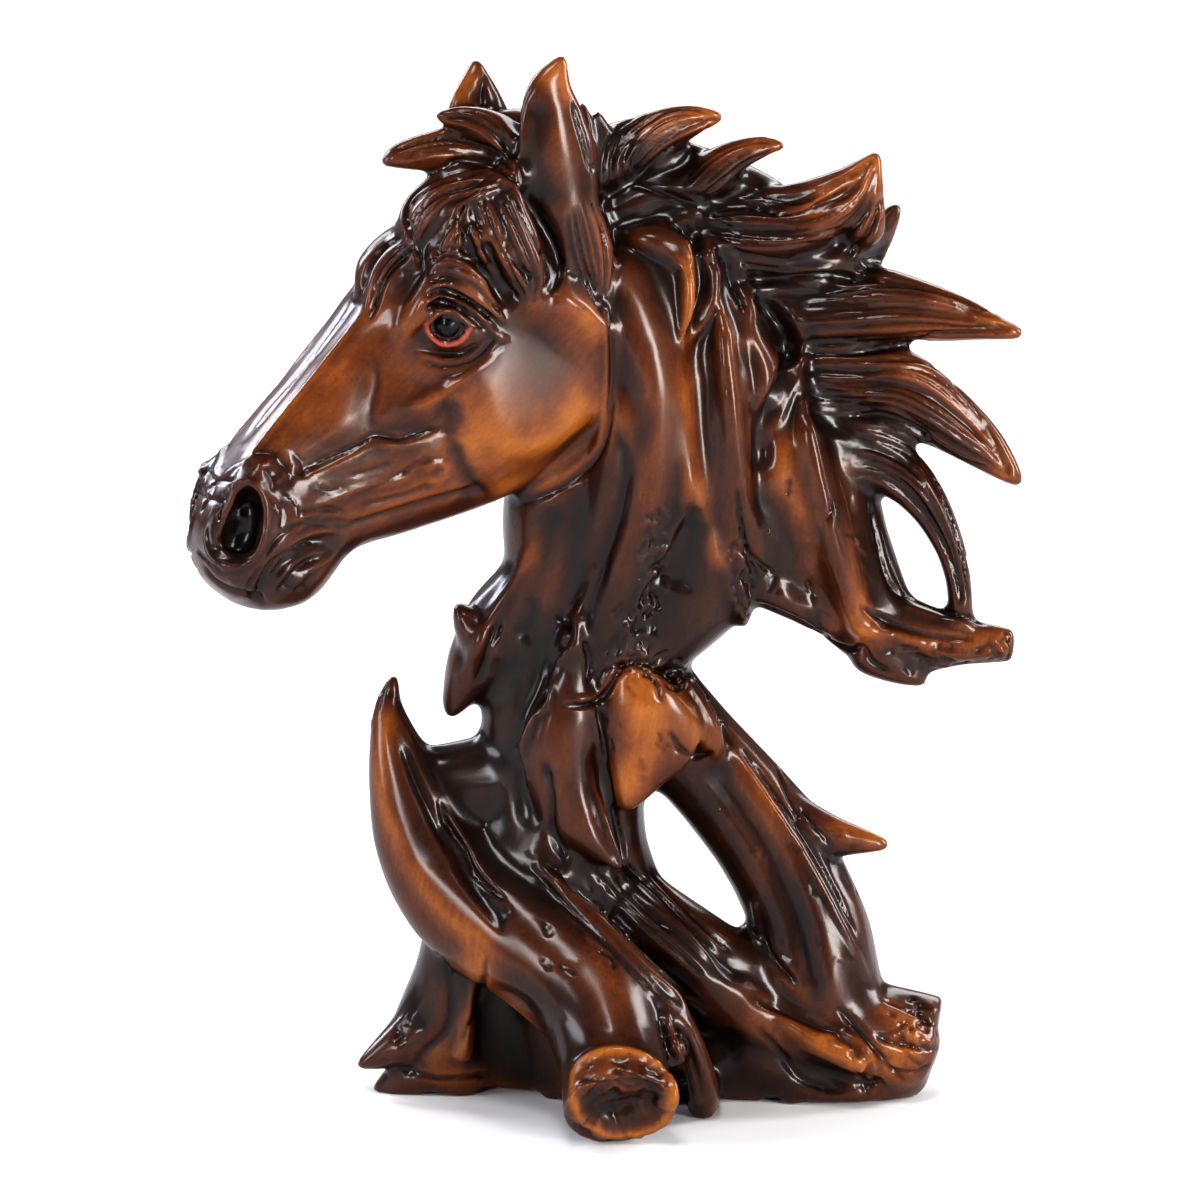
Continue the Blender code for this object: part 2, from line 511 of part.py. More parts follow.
def carve(mesh):
    """Presses the strokes into the skin, along the way the skin faces."""
    points = read_vectors(mesh, "co") / UNIT
    normals = read_vectors(mesh, "normal")
    push = np.zeros(len(points))
    view = points[:, [0, 2]]
    front = np.clip(-normals[:, 1] * FACING_GAIN, 0, 1)
    back = np.clip(normals[:, 1] * FACING_GAIN, 0, 1)
    for strokes, back_share in ((NECK_STROKES, 1), (MANE_STROKES, 1), (STAND_STROKES, 0)):
        for depth, reach, path in strokes:
            push -= depth * stroke_reach(view, path, reach) * (front + back_share * back)
    forward = -(points[:, 0] - PIVOT_X) * math.cos(HEAD_TURN) - points[:, 1] * math.sin(HEAD_TURN)
    forward -= POLL_FORWARD
    rise = points[:, 2] - POLL_HEIGHT
    along = forward * math.cos(HEAD_PITCH) - rise * math.sin(HEAD_PITCH)
    above = forward * math.sin(HEAD_PITCH) + rise * math.cos(HEAD_PITCH)
    side = normals[:, 0] * math.sin(HEAD_TURN) - normals[:, 1] * math.cos(HEAD_TURN)
    on_head = np.clip(np.abs(side) * FACING_GAIN, 0, 1) * (forward > HEAD_STROKES_FROM)
    head_view = np.column_stack([along, above])
    for depth, reach, path in HEAD_STROKES:
        push -= depth * stroke_reach(head_view, path, reach) * on_head
    points += normals * push[:, None]
    mesh.vertices.foreach_set("co", (points * UNIT).ravel())


def resin():
    material = bpy.data.materials.new("stained_resin")
    material.use_nodes = True
    shader = material.node_tree.nodes["Principled BSDF"]
    shader.inputs["Base Color"].default_value = RESIN_COLOR
    shader.inputs["Roughness"].default_value = RESIN_ROUGHNESS
    shader.inputs["Metallic"].default_value = 0
    return material


def thinned(mesh):
    """The carved skin with few enough triangles, as an editable mesh."""
    figure = bpy.data.objects.new("carved", mesh)
    bpy.context.scene.collection.objects.link(figure)
    even = figure.modifiers.new("Even", "SMOOTH")
    even.factor = 0.5
    even.iterations = 1
    thin = figure.modifiers.new("Thin", "DECIMATE")
    thin.ratio = FINAL_TRIANGLES / (2 * len(mesh.polygons))
    bpy.context.view_layer.update()
    evaluated = figure.evaluated_get(bpy.context.evaluated_depsgraph_get())
    clay = bmesh.new()
    clay.from_mesh(evaluated.to_mesh())
    evaluated.to_mesh_clear()
    bpy.data.objects.remove(figure)
    return clay


def keep_largest(clay):
    """Drops any sealed pocket or crumb, so that one closed skin is left."""
    pieces = []
    waiting = set(clay.verts)
    while waiting:
        piece = set()
        edge_of_piece = [min(waiting, key=lambda vert: vert.index)]
        while edge_of_piece:
            vert = edge_of_piece.pop()
            if vert in piece:
                continue
            piece.add(vert)
            edge_of_piece += [edge.other_vert(vert) for edge in vert.link_edges]
        waiting -= piece
        pieces.append(piece)
    largest = max(pieces, key=len)
    crumbs = [vert for piece in pieces if piece is not largest for vert in piece]
    bmesh.ops.delete(clay, geom=crumbs, context="VERTS")


def cut_flat(clay):
    """Takes off what is below the ground and closes the figure with a flat underside."""
    everything = clay.verts[:] + clay.edges[:] + clay.faces[:]
    bmesh.ops.bisect_plane(
        clay, geom=everything, plane_co=(0, 0, 0), plane_no=(0, 0, -1), clear_outer=True,
    )
    rim = [edge for edge in clay.edges if edge.is_boundary]
    bmesh.ops.triangle_fill(clay, use_beauty=True, edges=rim, normal=(0, 0, -1))
    bmesh.ops.triangulate(clay, faces=clay.faces)
    bmesh.ops.recalc_face_normals(clay, faces=clay.faces)


def centred(clay):
    """Moves the figure so that the middle of its outline stands over the origin."""
    across, back = OUTLINE_MIDDLE
    bmesh.ops.translate(clay, verts=clay.verts, vec=(-across * UNIT, -back * UNIT, 0))


def main():
    for item in list(bpy.data.objects):
        bpy.data.objects.remove(item)
    skin = lay_on_details(block_in())
    carve(skin)
    clay = thinned(skin)
    keep_largest(clay)
    cut_flat(clay)
    centred(clay)
    mesh = bpy.data.meshes.new("horse_head_figurine")
    clay.to_mesh(mesh)
    clay.free()
    mesh.materials.append(resin())
    mesh.shade_smooth()
    figure = bpy.data.objects.new("horse_head_figurine", mesh)
    bpy.context.scene.collection.objects.link(figure)


main()
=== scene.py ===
import math

import bmesh
import bpy
import numpy as np
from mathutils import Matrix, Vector
from mathutils.bvhtree import BVHTree


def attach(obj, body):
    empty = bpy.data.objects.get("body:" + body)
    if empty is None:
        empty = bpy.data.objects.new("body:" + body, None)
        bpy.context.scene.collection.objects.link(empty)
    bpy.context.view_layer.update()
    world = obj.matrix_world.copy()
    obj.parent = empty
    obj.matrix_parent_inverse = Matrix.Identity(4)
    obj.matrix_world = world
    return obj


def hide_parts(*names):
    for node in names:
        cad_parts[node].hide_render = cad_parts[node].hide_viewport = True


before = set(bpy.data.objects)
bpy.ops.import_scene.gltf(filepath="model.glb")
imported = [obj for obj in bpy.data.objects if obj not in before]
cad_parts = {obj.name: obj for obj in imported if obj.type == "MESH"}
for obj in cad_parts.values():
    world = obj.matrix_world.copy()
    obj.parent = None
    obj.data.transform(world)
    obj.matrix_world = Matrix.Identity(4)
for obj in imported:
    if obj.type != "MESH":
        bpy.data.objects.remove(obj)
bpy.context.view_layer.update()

# the front drawing is 1200 wide and 1200 high, four to the millimetre at the figure's middle
view = {
    "distance": 1.5, "lens": 180, "sensor": 36, "elevation": 11,
    "aim": (-0.00211, 0.01579, 0.127), "drawing": 1200, "farEnd": 50,
}
head = {"turn": 24, "pivot": (0.00289, 0.01579, 0)}  # the head's middle plane stands here
mm = 0.001
# how drawn strokes lie on the figure: steps in drawing points, lengths in millimetres, behind in metres
laying = {
    "spacing": 5, "longestStep": 12, "mirrorGap": 5, "behind": 0.2, "margin": 3,
    "fadeRate": 6, "endShare": 0.25, "turnShare": 0.6,
}


def sightAxes():
    tilt = math.radians(view["elevation"])
    ahead = Vector((0, math.cos(tilt), -math.sin(tilt)))
    above = Vector((0, math.sin(tilt), math.cos(tilt)))
    return Vector(view["aim"]) - ahead * view["distance"], ahead, above


def sightLine(u, v):
    eye, ahead, above = sightAxes()
    half = view["drawing"] / 2
    reach = view["lens"] / view["sensor"] * view["drawing"]
    way = ahead * reach + Vector((1, 0, 0)) * (u - half) + above * (half - v)
    return eye, way.normalized()


def rounded(path, spacing):  # a smooth curve through the drawn places, in even steps
    rows = np.array(path, float)
    if len(rows) < 3:
        rows = np.linspace(rows[0], rows[-1], 3)
    padded = np.vstack([2 * rows[0] - rows[1], rows, 2 * rows[-1] - rows[-2]])
    found = []
    for i in range(1, len(padded) - 2):
        before, start, end, after = padded[i - 1:i + 3]
        steps = max(1, int(np.linalg.norm(end - start) / spacing))
        for step in range(steps):
            t = step / steps
            found.append(0.5 * (
                2 * start + (end - before) * t + (2 * before - 5 * start + 4 * end - after) * t * t
                + (3 * start - before - 3 * end + after) * t ** 3
            ))
    found.append(rows[-1])
    return np.array(found)


def between(first, last, count):  # evenly placed paths from the first edge of a lock to the last
    a, b = rounded(first, 1e9), rounded(last, 1e9)
    steps = max(len(a), len(b))
    share = np.linspace(0, 1, steps)
    a = np.column_stack([np.interp(share, np.linspace(0, 1, len(a)), a[:, k]) for k in (0, 1)])
    b = np.column_stack([np.interp(share, np.linspace(0, 1, len(b)), b[:, k]) for k in (0, 1)])
    return [a + (b - a) * k / (count - 1) for k in range(count)]


def layFront(tree, path, spacing=laying["spacing"]):  # the drawn path, laid on what is seen from the front
    points, normals = [], []
    depth = view["distance"]
    for u, v in rounded(path, spacing):
        eye, way = sightLine(u, v)
        hit, normal, _, far = tree.ray_cast(eye, way)
        if hit is None or (points and (hit - points[-1]).length > laying["longestStep"] * mm):
            hit, normal, _, _ = tree.find_nearest(eye + way * depth)
        else:
            depth = far
        points.append(hit)
        normals.append(normal)
    return np.array(points), np.array(normals)


def layBack(tree, points):  # the same path on the far face
    found, normals = [], []
    for x, _, z in points:
        hit, normal, _, _ = tree.ray_cast(Vector((x, laying["behind"], z)), Vector((0, -1, 0)))
        if hit is not None:
            found.append(hit)
            normals.append(normal)
    return (np.array(found), np.array(normals)) if len(found) > 2 else None


def headSide():  # the way the head's seen side faces
    turn = math.radians(head["turn"])
    return np.array((math.sin(turn), -math.cos(turn), 0))


def layMirrored(tree, points):  # the same path on the other side of the head
    out = headSide()
    away = (points - np.array(head["pivot"])) @ out
    found, normals = [], []
    for point in points - 2 * away[:, None] * out:
        hit, normal, _, gap = tree.find_nearest(Vector(point))
        if gap < laying["mirrorGap"] * mm:
            found.append(hit)
            normals.append(normal)
    return (np.array(found), np.array(normals)) if len(found) > 2 else None


def shaped(mesh, name, modifiers):  # a mesh with modifiers applied
    piece = bpy.data.objects.new(name, mesh)
    bpy.context.scene.collection.objects.link(piece)
    for kind, settings in modifiers:
        modifier = piece.modifiers.new(kind, kind)
        for setting, value in settings.items():
            setattr(modifier, setting, value)
    bpy.context.view_layer.update()
    done = bpy.data.meshes.new_from_object(piece.evaluated_get(bpy.context.evaluated_depsgraph_get()))
    bpy.data.objects.remove(piece)
    bpy.data.meshes.remove(mesh)
    return done


def readVectors(mesh, name):
    values = np.empty(len(mesh.vertices) * 3)
    mesh.vertices.foreach_get(name, values)
    return values.reshape(-1, 3)


def treeOf(mesh):
    clay = bmesh.new()
    clay.from_mesh(mesh)
    tree = BVHTree.FromBMesh(clay)
    clay.free()
    return tree


def strokeTouch(places, points, reach):  # how near each place is to a stroke, and how far along it
    margin = laying["margin"] * reach
    low, high = points.min(0) - margin, points.max(0) + margin
    near = np.flatnonzero(((places > low) & (places < high)).all(axis=1))
    if not len(near):
        return near, None, None
    spots = places[near]
    gap = np.full(len(near), np.inf)
    along = np.zeros(len(near))
    last = max(1, len(points) - 1)
    for i, (start, end) in enumerate(zip(points, points[1:])):
        run = end - start
        size = run.dot(run)
        if size < 1e-12:
            continue
        share = np.clip(((spots - start) @ run) / size, 0, 1)
        apart = ((spots - start - share[:, None] * run) ** 2).sum(axis=1)
        closer = apart < gap
        gap[closer] = apart[closer]
        along[closer] = ((i + share) / last)[closer]
    return near, gap, along


def press(places, facing, strokes):  # pushes the skin in along each stroke, or out below nought
    push = np.zeros(len(places))
    for points, normals, depth, reach in strokes:
        near, gap, along = strokeTouch(places, points, reach * mm)
        if not len(near):
            continue
        fade = np.clip(laying["fadeRate"] * np.minimum(along, 1 - along) + laying["endShare"], 0, 1)
        turned = np.clip(facing[near] @ normals.mean(axis=0) + laying["turnShare"], 0, 1)
        push[near] -= depth * mm * np.exp(-gap / (reach * mm) ** 2) * fade * turned
    return push


# ridges: thickness, lift and path of each raised form; both sides of the head carry them
headRidges = [
    (1.0, 0.5, [(424, 331), (428, 320), (437, 312), (450, 311), (462, 317), (472, 329)]),
    (0.7, 0.35, [(426, 324), (430, 335), (439, 343), (450, 345), (462, 340), (470, 329)]),
    (0.9, 0.0, [(424, 304), (437, 296), (456, 300), (474, 310), (492, 326)]),
    (1.0, 0.0, [(428, 290), (444, 284), (464, 290), (484, 304), (503, 321)]),
    (1.0, 0.2, [
        (222, 496), (232, 485), (246, 481), (259, 488), (266, 504), (266, 526), (261, 546), (252, 560),
    ]),
    (0.9, 0.0, [(212, 512), (206, 530), (207, 549), (218, 563), (240, 567), (252, 560)]),
]
# swells: depth below nought lifts the skin
headSwells = [
    (-0.5, 1.2, [(503, 338), (482, 362), (453, 386), (430, 399), (404, 409)]),
    (-0.45, 0.9, [(412, 345), (431, 357), (452, 361), (473, 353), (488, 338)]),
    (-0.35, 1.0, [(298, 482), (330, 467), (355, 456), (376, 445), (399, 446), (430, 440)]),
    (-0.6, 0.9, [(264, 578), (281, 554), (300, 538), (322, 531), (339, 532)]),
    (-0.6, 0.8, [(273, 588), (291, 565), (308, 555), (323, 550)]),
    (-0.5, 0.8, [(289, 594), (303, 576), (316, 566), (328, 560)]),
    (-0.5, 1.4, [(424, 472), (436, 462), (446, 468), (438, 480), (426, 480)]),
    (-0.4, 1.2, [(300, 520), (330, 500), (370, 486), (410, 478)]),
    (-0.25, 0.9, [(268, 484), (282, 478), (300, 462)]),
    (-0.5, 1.1, [(222, 478), (236, 466), (252, 462), (266, 468)]),
    (-0.7, 1.6, [(226, 576), (240, 578), (252, 572)]),
    (-0.5, 0.8, [(478, 316), (490, 330), (506, 340)]),
    (-0.45, 0.9, [(366, 308), (331, 354), (291, 404), (258, 447), (238, 474)]),
    (0.4, 1.0, [(354, 306), (320, 350), (281, 398), (248, 438)]),
]
# grooves: depth, reach and path
headGrooves = [
    (1.1, 0.8, [(426, 311), (437, 302), (455, 306), (472, 317), (489, 331)]),
    (1.0, 0.8, [(427, 297), (441, 290), (460, 296), (479, 308), (498, 324)]),
    (0.9, 0.8, [(430, 283), (446, 277), (468, 284), (488, 300), (505, 314)]),
    (0.7, 0.7, [(412, 348), (426, 351), (443, 354), (463, 352), (479, 343)]),
    (0.55, 0.7, [(424, 362), (445, 366), (470, 361), (492, 344)]),
    (0.5, 0.7, [(440, 376), (462, 373), (486, 358), (504, 342)]),
    (0.2, 0.9, [(376, 362), (377, 385), (371, 405), (370, 432)]),
    (0.75, 0.75, [(296, 474), (328, 458), (352, 447), (374, 435), (400, 438), (430, 429), (452, 430)]),
    (0.7, 1.8, [(452, 442), (462, 462), (474, 482), (490, 498)]),
    (1.2, 0.8, [(262, 604), (259, 590), (268, 568), (284, 553), (301, 544), (322, 540)]),
    (0.7, 0.7, [(280, 590), (298, 568), (316, 557)]),
    (0.6, 0.7, [(262, 560), (276, 540), (296, 524), (318, 520)]),
    (0.5, 0.7, [(300, 512), (322, 508), (345, 512)]),
    (0.4, 0.8, [(262, 468), (272, 477), (273, 492)]),
    (0.35, 0.8, [(276, 460), (288, 470), (290, 486)]),
    (0.3, 0.8, [(292, 452), (302, 462), (304, 478)]),
    (0.35, 0.8, [(246, 456), (262, 452), (280, 456)]),
    (0.6, 0.9, [(340, 528), (390, 512), (440, 497), (480, 487)]),
    (0.5, 0.8, [(362, 505), (400, 496), (432, 484)]),
    (0.4, 0.7, [(398, 476), (420, 462), (446, 458)]),
    (1.1, 0.9, [(204, 566), (214, 580), (232, 590), (250, 594), (264, 602)]),
    (0.6, 0.7, [(196, 548), (206, 560), (222, 572)]),
    (0.6, 0.7, [(212, 594), (234, 600), (252, 602)]),
    (0.5, 0.6, [(246, 590), (254, 576), (262, 566)]),
    (0.45, 0.6, [(206, 470), (214, 480), (212, 494)]),
    (0.45, 0.6, [(196, 492), (206, 498), (202, 512)]),
    (0.35, 0.6, [(270, 500), (282, 512), (280, 530)]),
    (0.35, 0.6, [(284, 494), (296, 504), (300, 520)]),
    (0.3, 0.6, [(310, 486), (330, 492), (346, 486)]),
    (0.3, 0.6, [(350, 476), (372, 470), (392, 462)]),
    (0.3, 0.6, [(352, 496), (380, 484), (408, 470)]),
    (0.3, 0.6, [(300, 530), (330, 520), (352, 522)]),
]
# deep hollows, pressed in before the raised forms go on
hollows = [
    (3.6, 3.4, [(240, 500), (246, 515), (243, 535), (236, 550)]),
    (2.6, 3.0, [(226, 515), (224, 535), (230, 550)]),
    (2.2, 3.2, [(446, 312), (446, 338)]),
]
# balls set under the skin where two locks leave a gap: place, radius, how far under, in millimetres
plugs = [
    ((457, 234), (490, 246), 3.6, 2.6), ((464, 250), (498, 268), 3.6, 2.4),
    ((660, 1022), (690, 1012), 4.0, 3.4), ((664, 1050), (700, 1046), 4.0, 3.4),
    ((668, 1076), (706, 1074), 4.0, 3.4), ((668, 1100), (706, 1100), 4.0, 3.4),
]
# broad smooth places, where the flats of the solid are evened out: reach in millimetres, path
evened = [
    (5, [(366, 340), (366, 400), (362, 440)]), (5, [(400, 360), (400, 410)]), (5, [(320, 400), (300, 430)]),
    (7, [(520, 370), (540, 420)]), (5, [(560, 330), (590, 370)]), (5, [(480, 400), (470, 430)]),
]
# hair: two edges of each lock, how many strands, depth, reach
frontLocks = [
    (
        [(398, 162), (425, 152), (455, 150), (490, 160), (510, 172)],
        [(395, 146), (425, 136), (455, 134), (490, 146), (512, 166)],
        4, 0.7, 0.7,
    ),
    (
        [(440, 122), (465, 124), (492, 138), (510, 158)],
        [(452, 108), (476, 109), (498, 124), (511, 142)],
        5, 0.8, 0.7,
    ),
    (
        [(568, 212), (572, 250), (586, 286), (602, 314)],
        [(598, 200), (612, 235), (612, 275), (604, 308)],
        6, 0.8, 0.7,
    ),
    (
        [(572, 104), (580, 132), (590, 168)],
        [(606, 112), (602, 144), (600, 182)],
        4, 0.8, 0.7,
    ),
]
headLocks = [
    (
        [(408, 238), (402, 215), (412, 196), (438, 180), (475, 172)],
        [(424, 272), (424, 248), (434, 222), (455, 200), (505, 184)],
        7, 1.0, 0.8,
    ),
    (
        [(432, 262), (442, 238), (455, 218), (470, 200)],
        [(452, 250), (458, 236), (462, 222), (466, 206)],
        3, 0.8, 0.8,
    ),
    (
        [(474, 200), (482, 232), (494, 260), (508, 286), (524, 300)],
        [(520, 190), (542, 226), (556, 256), (558, 280), (544, 300)],
        6, 0.9, 0.9,
    ),
    (
        [(426, 264), (440, 252), (460, 252), (480, 264), (500, 292)],
        [(430, 280), (446, 272), (466, 276), (486, 290), (503, 306)],
        4, 0.8, 0.7,
    ),
    (
        [(404, 234), (386, 246), (372, 264), (364, 290)],
        [(412, 246), (396, 262), (382, 282), (372, 312)],
        3, 0.7, 0.8,
    ),
]
headLines = [  # single strokes of the hair and ears, on the seen side alone
    (1.4, 1.2, [(462, 204), (463, 220), (469, 243), (479, 262), (491, 284), (504, 302)]),
    (1.4, 1.0, [(444, 169), (458, 161), (480, 163), (502, 170), (520, 184)]),
    (1.2, 0.9, [(502, 234), (512, 258), (530, 277), (524, 268)]),
    (1.2, 0.9, [(412, 246), (398, 262), (385, 280), (376, 300), (371, 316)]),
    (0.7, 1.6, [(524, 150), (524, 185), (533, 215), (543, 235)]),
    (0.5, 0.8, [(486, 74), (482, 90), (482, 108)]),
    (0.8, 0.9, [(609, 300), (612, 350), (611, 400), (603, 446), (584, 472), (548, 494), (514, 506)]),
]
maneLocks = [
    (
        [(610, 166), (630, 136), (660, 116), (690, 110), (716, 117)],
        [(640, 176), (665, 152), (690, 137), (706, 129), (717, 121)],
        6, 0.68, 0.77,
    ),
    (
        [(600, 186), (604, 152), (614, 130), (638, 114)],
        [(636, 182), (638, 152), (652, 130), (672, 116)],
        4, 0.75, 0.77,
    ),
    (
        [(678, 186), (700, 162), (725, 146), (750, 139), (774, 141)],
        [(700, 196), (726, 176), (746, 161), (765, 153), (776, 146)],
        5, 0.60, 0.68,
    ),
    (
        [(700, 202), (740, 190), (790, 198), (822, 186), (850, 172), (871, 158)],
        [(704, 234), (760, 244), (810, 243), (848, 232), (870, 205), (877, 176)],
        10, 0.68, 0.77,
    ),
    (
        [(720, 248), (760, 257), (810, 264), (860, 270), (896, 276)],
        [(748, 292), (792, 293), (842, 295), (890, 290), (930, 290)],
        5, 0.60, 0.85,
    ),
    (
        [(800, 296), (850, 290), (900, 286), (945, 296), (984, 311), (1009, 321)],
        [(800, 346), (850, 344), (890, 341), (930, 336), (970, 333), (1008, 331)],
        9, 0.68, 0.68,
    ),
    (
        [(806, 360), (850, 362), (900, 360), (932, 366), (962, 392), (990, 428), (1011, 466)],
        [(812, 412), (850, 416), (890, 414), (926, 436), (960, 456), (988, 467), (1008, 474)],
        10, 0.68, 0.68,
    ),
    (
        [(858, 420), (890, 428), (924, 448), (948, 492), (965, 546), (972, 592)],
        [(852, 474), (882, 480), (912, 503), (936, 538), (951, 576), (958, 602)],
        7, 0.68, 0.68,
    ),
    (
        [(664, 200), (700, 214), (730, 240), (752, 276)],
        [(620, 180), (660, 190), (700, 196), (740, 206)],
        4, 0.52, 0.85,
    ),
]
maneLines = [
    (1.6, 1.1, [(848, 256), (864, 238), (877, 216), (883, 198)]),
    (1.4, 1.1, [(742, 278), (780, 280), (830, 276), (870, 280)]),
    (1.6, 1.1, [(800, 353), (850, 352), (890, 347), (924, 343)]),
    (1.2, 1.0, [(742, 202), (788, 213), (826, 203), (858, 186)]),
    (1.5, 1.1, [(850, 416), (886, 418), (920, 432), (932, 446)]),
]
bodySwells = [  # raised lips and drips on the neck and the stand
    (-0.98, 1.7, [(704, 240), (714, 262), (716, 288), (706, 314), (692, 338)]),
    (-0.75, 1.3, [(738, 258), (748, 280), (756, 300)]),
    (-0.90, 1.6, [(782, 300), (800, 328), (803, 356), (792, 390), (768, 438)]),
    (-1.20, 2.1, [(803, 398), (812, 440), (822, 490), (836, 550), (852, 615), (866, 646)]),
    (-1.35, 2.3, [(720, 310), (730, 380), (737, 450), (742, 510)]),
    (-1.05, 1.8, [(530, 546), (516, 578), (497, 606), (480, 640), (463, 684)]),
    (-1.05, 1.8, [(600, 560), (590, 590), (575, 622), (571, 642)]),
    (-0.90, 1.6, [(688, 476), (683, 508), (668, 540), (656, 572), (640, 594), (629, 624), (621, 652)]),
    (-0.68, 1.2, [(576, 645), (560, 656), (551, 676), (549, 700), (535, 716), (523, 740), (517, 756)]),
    (-0.60, 1.2, [(591, 704), (597, 730), (602, 762)]),
    (-0.60, 1.2, [(684, 676), (705, 708), (724, 746)]),
    (-0.83, 1.4, [(572, 702), (590, 698), (602, 688), (613, 672)]),
    (-0.75, 1.3, [(852, 630), (890, 634), (930, 646), (962, 656), (1000, 652)]),
    (-0.75, 1.3, [(900, 604), (940, 618), (984, 630)]),
    (-0.83, 1.4, [(542, 868), (575, 897), (610, 932), (650, 972), (694, 1008)]),
    (-0.68, 1.2, [(620, 872), (650, 902), (690, 938), (716, 968)]),
    (-0.60, 1.2, [(448, 812), (462, 840), (476, 866), (498, 892)]),
    (-0.83, 1.4, [(664, 1014), (678, 1046), (692, 1078), (700, 1104)]),
    (-0.75, 1.3, [(732, 748), (768, 800), (808, 862), (842, 924), (872, 984)]),
    (-0.75, 1.3, [(818, 1036), (846, 1036), (868, 1052), (873, 1072), (862, 1078)]),
    (-0.75, 1.3, [(754, 900), (757, 918), (760, 934)]),
]
cheekRim = [(603, 310), (606, 350), (605, 400), (598, 440), (578, 464), (545, 484), (515, 497)]
rootRim = [  # the cut end of the front root, a lip round a worn hollow
    (572, 1090), (574, 1072), (588, 1058), (612, 1051), (642, 1056), (666, 1074), (674, 1098),
    (664, 1120), (640, 1132), (606, 1134), (582, 1118), (572, 1100),
]
rims = [  # the cheek's back edge, then the lip and the hollow of the cut root
    (-0.28, 1.0, cheekRim),
    (-1.3, 1.5, rootRim),
    (1.6, 3.4, [(594, 1090), (622, 1082), (650, 1092), (624, 1108), (598, 1104)]),
]
neckGrooves = [
    (2.2, 1.5, [(670, 220), (690, 234), (700, 256), (703, 286), (698, 312), (688, 336)]),
    (1.6, 1.1, [(727, 262), (734, 286), (744, 312)]),
    (2.2, 2.0, [(752, 290), (772, 314), (786, 340), (786, 368), (774, 398), (764, 430)]),
    (1.4, 2.4, [(748, 340), (757, 400), (759, 470), (766, 530)]),
    (1.3, 1.8, [(616, 430), (624, 462), (621, 502), (609, 545), (595, 592)]),
    (1.4, 0.8, [(737, 488), (740, 520), (746, 552), (757, 578)]),
    (0.8, 0.6, [(748, 552), (762, 566), (774, 572)]),
    (0.6, 0.5, [(830, 503), (828, 522)]),
    (1.0, 4.0, [(692, 520), (692, 556), (676, 592)]),
    (1.2, 1.0, [(655, 560), (662, 574), (650, 584), (640, 600)]),
    (1.6, 1.3, [(560, 612), (570, 632), (556, 656), (544, 690), (536, 708)]),
    (0.6, 1.8, [(532, 596), (532, 618), (522, 640)]),
    (1.2, 1.0, [(500, 620), (488, 650), (478, 680)]),
    (1.2, 0.7, [(584, 640), (590, 660), (588, 684)]),
    (1.3, 0.8, [(566, 706), (590, 704), (606, 692), (618, 672), (628, 660)]),
    (1.1, 0.7, [(606, 668), (640, 662), (660, 672), (676, 682), (690, 672)]),
    (1.0, 0.6, [(640, 664), (656, 682), (661, 700)]),
    (0.9, 0.6, [(665, 684), (676, 690), (684, 684)]),
    (1.0, 0.7, [(671, 734), (680, 748), (694, 756), (716, 752)]),
    (0.9, 0.7, [(596, 706), (602, 734), (607, 764)]),
    (1.0, 0.8, [(692, 672), (712, 706), (732, 746)]),
    (1.0, 0.9, [(606, 764), (612, 800), (622, 846), (624, 868)]),
    (1.6, 1.4, [(545, 764), (550, 790), (552, 830), (566, 858)]),
    (1.2, 0.9, [(618, 880), (640, 902), (668, 930)]),
    (1.0, 1.0, [(870, 500), (878, 540), (888, 580), (906, 602)]),
    (1.0, 0.8, [(862, 606), (892, 624), (930, 636), (970, 640)]),
    (0.9, 0.7, [(905, 596), (940, 610), (985, 622)]),
    (1.0, 0.8, [(848, 652), (862, 646), (872, 662), (890, 672)]),
    (1.0, 0.9, [(760, 604), (800, 622), (836, 644), (858, 652)]),
    (0.8, 0.6, [(806, 580), (814, 596)]),
    (0.7, 0.6, [(790, 480), (788, 496)]),
]
standGrooves = [
    (1.6, 0.8, [(440, 804), (446, 822), (457, 838), (466, 852), (472, 868), (484, 884), (502, 899)]),
    (0.9, 1.4, [(402, 744), (416, 782), (432, 816), (446, 850)]),
    (0.9, 1.0, [(530, 868), (556, 896), (592, 930), (630, 968), (664, 1000)]),
    (1.1, 0.9, [(556, 872), (590, 900), (626, 936), (668, 976), (704, 1004)]),
    (0.9, 0.8, [(590, 868), (622, 900), (660, 936), (700, 972)]),
    (0.9, 0.8, [(620, 860), (652, 888), (690, 926), (716, 956)]),
    (0.8, 0.8, [(648, 870), (676, 900), (708, 930), (730, 950)]),
    (0.7, 0.6, [(598, 950), (612, 958), (614, 968)]),
    (1.0, 1.2, [(752, 998), (800, 1018), (846, 1040), (866, 1062)]),
    (1.0, 0.8, [(838, 1008), (866, 1038), (888, 1066), (904, 1080)]),
    (0.9, 1.0, [(760, 1030), (780, 1052), (800, 1078), (838, 1092)]),
    (1.0, 1.2, [(852, 1082), (866, 1086), (880, 1080)]),
    (1.0, 0.6, [(672, 1018), (682, 1050), (690, 1080), (694, 1100)]),
    (0.9, 0.8, [(660, 1024), (668, 1050), (682, 1072)]),
    (0.8, 0.7, [(776, 764), (788, 796), (802, 826)]),
    (0.8, 0.7, [(798, 806), (816, 826), (832, 846)]),
    (0.9, 0.8, [(744, 752), (784, 808), (822, 868), (854, 930)]),
    (1.0, 0.9, [(762, 936), (776, 962), (796, 984)]),
    (0.9, 1.1, [(446, 960), (452, 1000), (446, 1030), (420, 1056)]),
    (0.8, 0.9, [(486, 960), (480, 1000), (462, 1040)]),
    (0.8, 0.9, [(400, 1068), (440, 1078), (490, 1074)]),
    (0.8, 0.7, [(884, 1000), (912, 1012), (934, 1024)]),
    (0.9, 0.8, [(876, 1036), (906, 1046), (936, 1050)]),
    (0.8, 0.7, [(890, 1070), (916, 1072), (930, 1064)]),
]
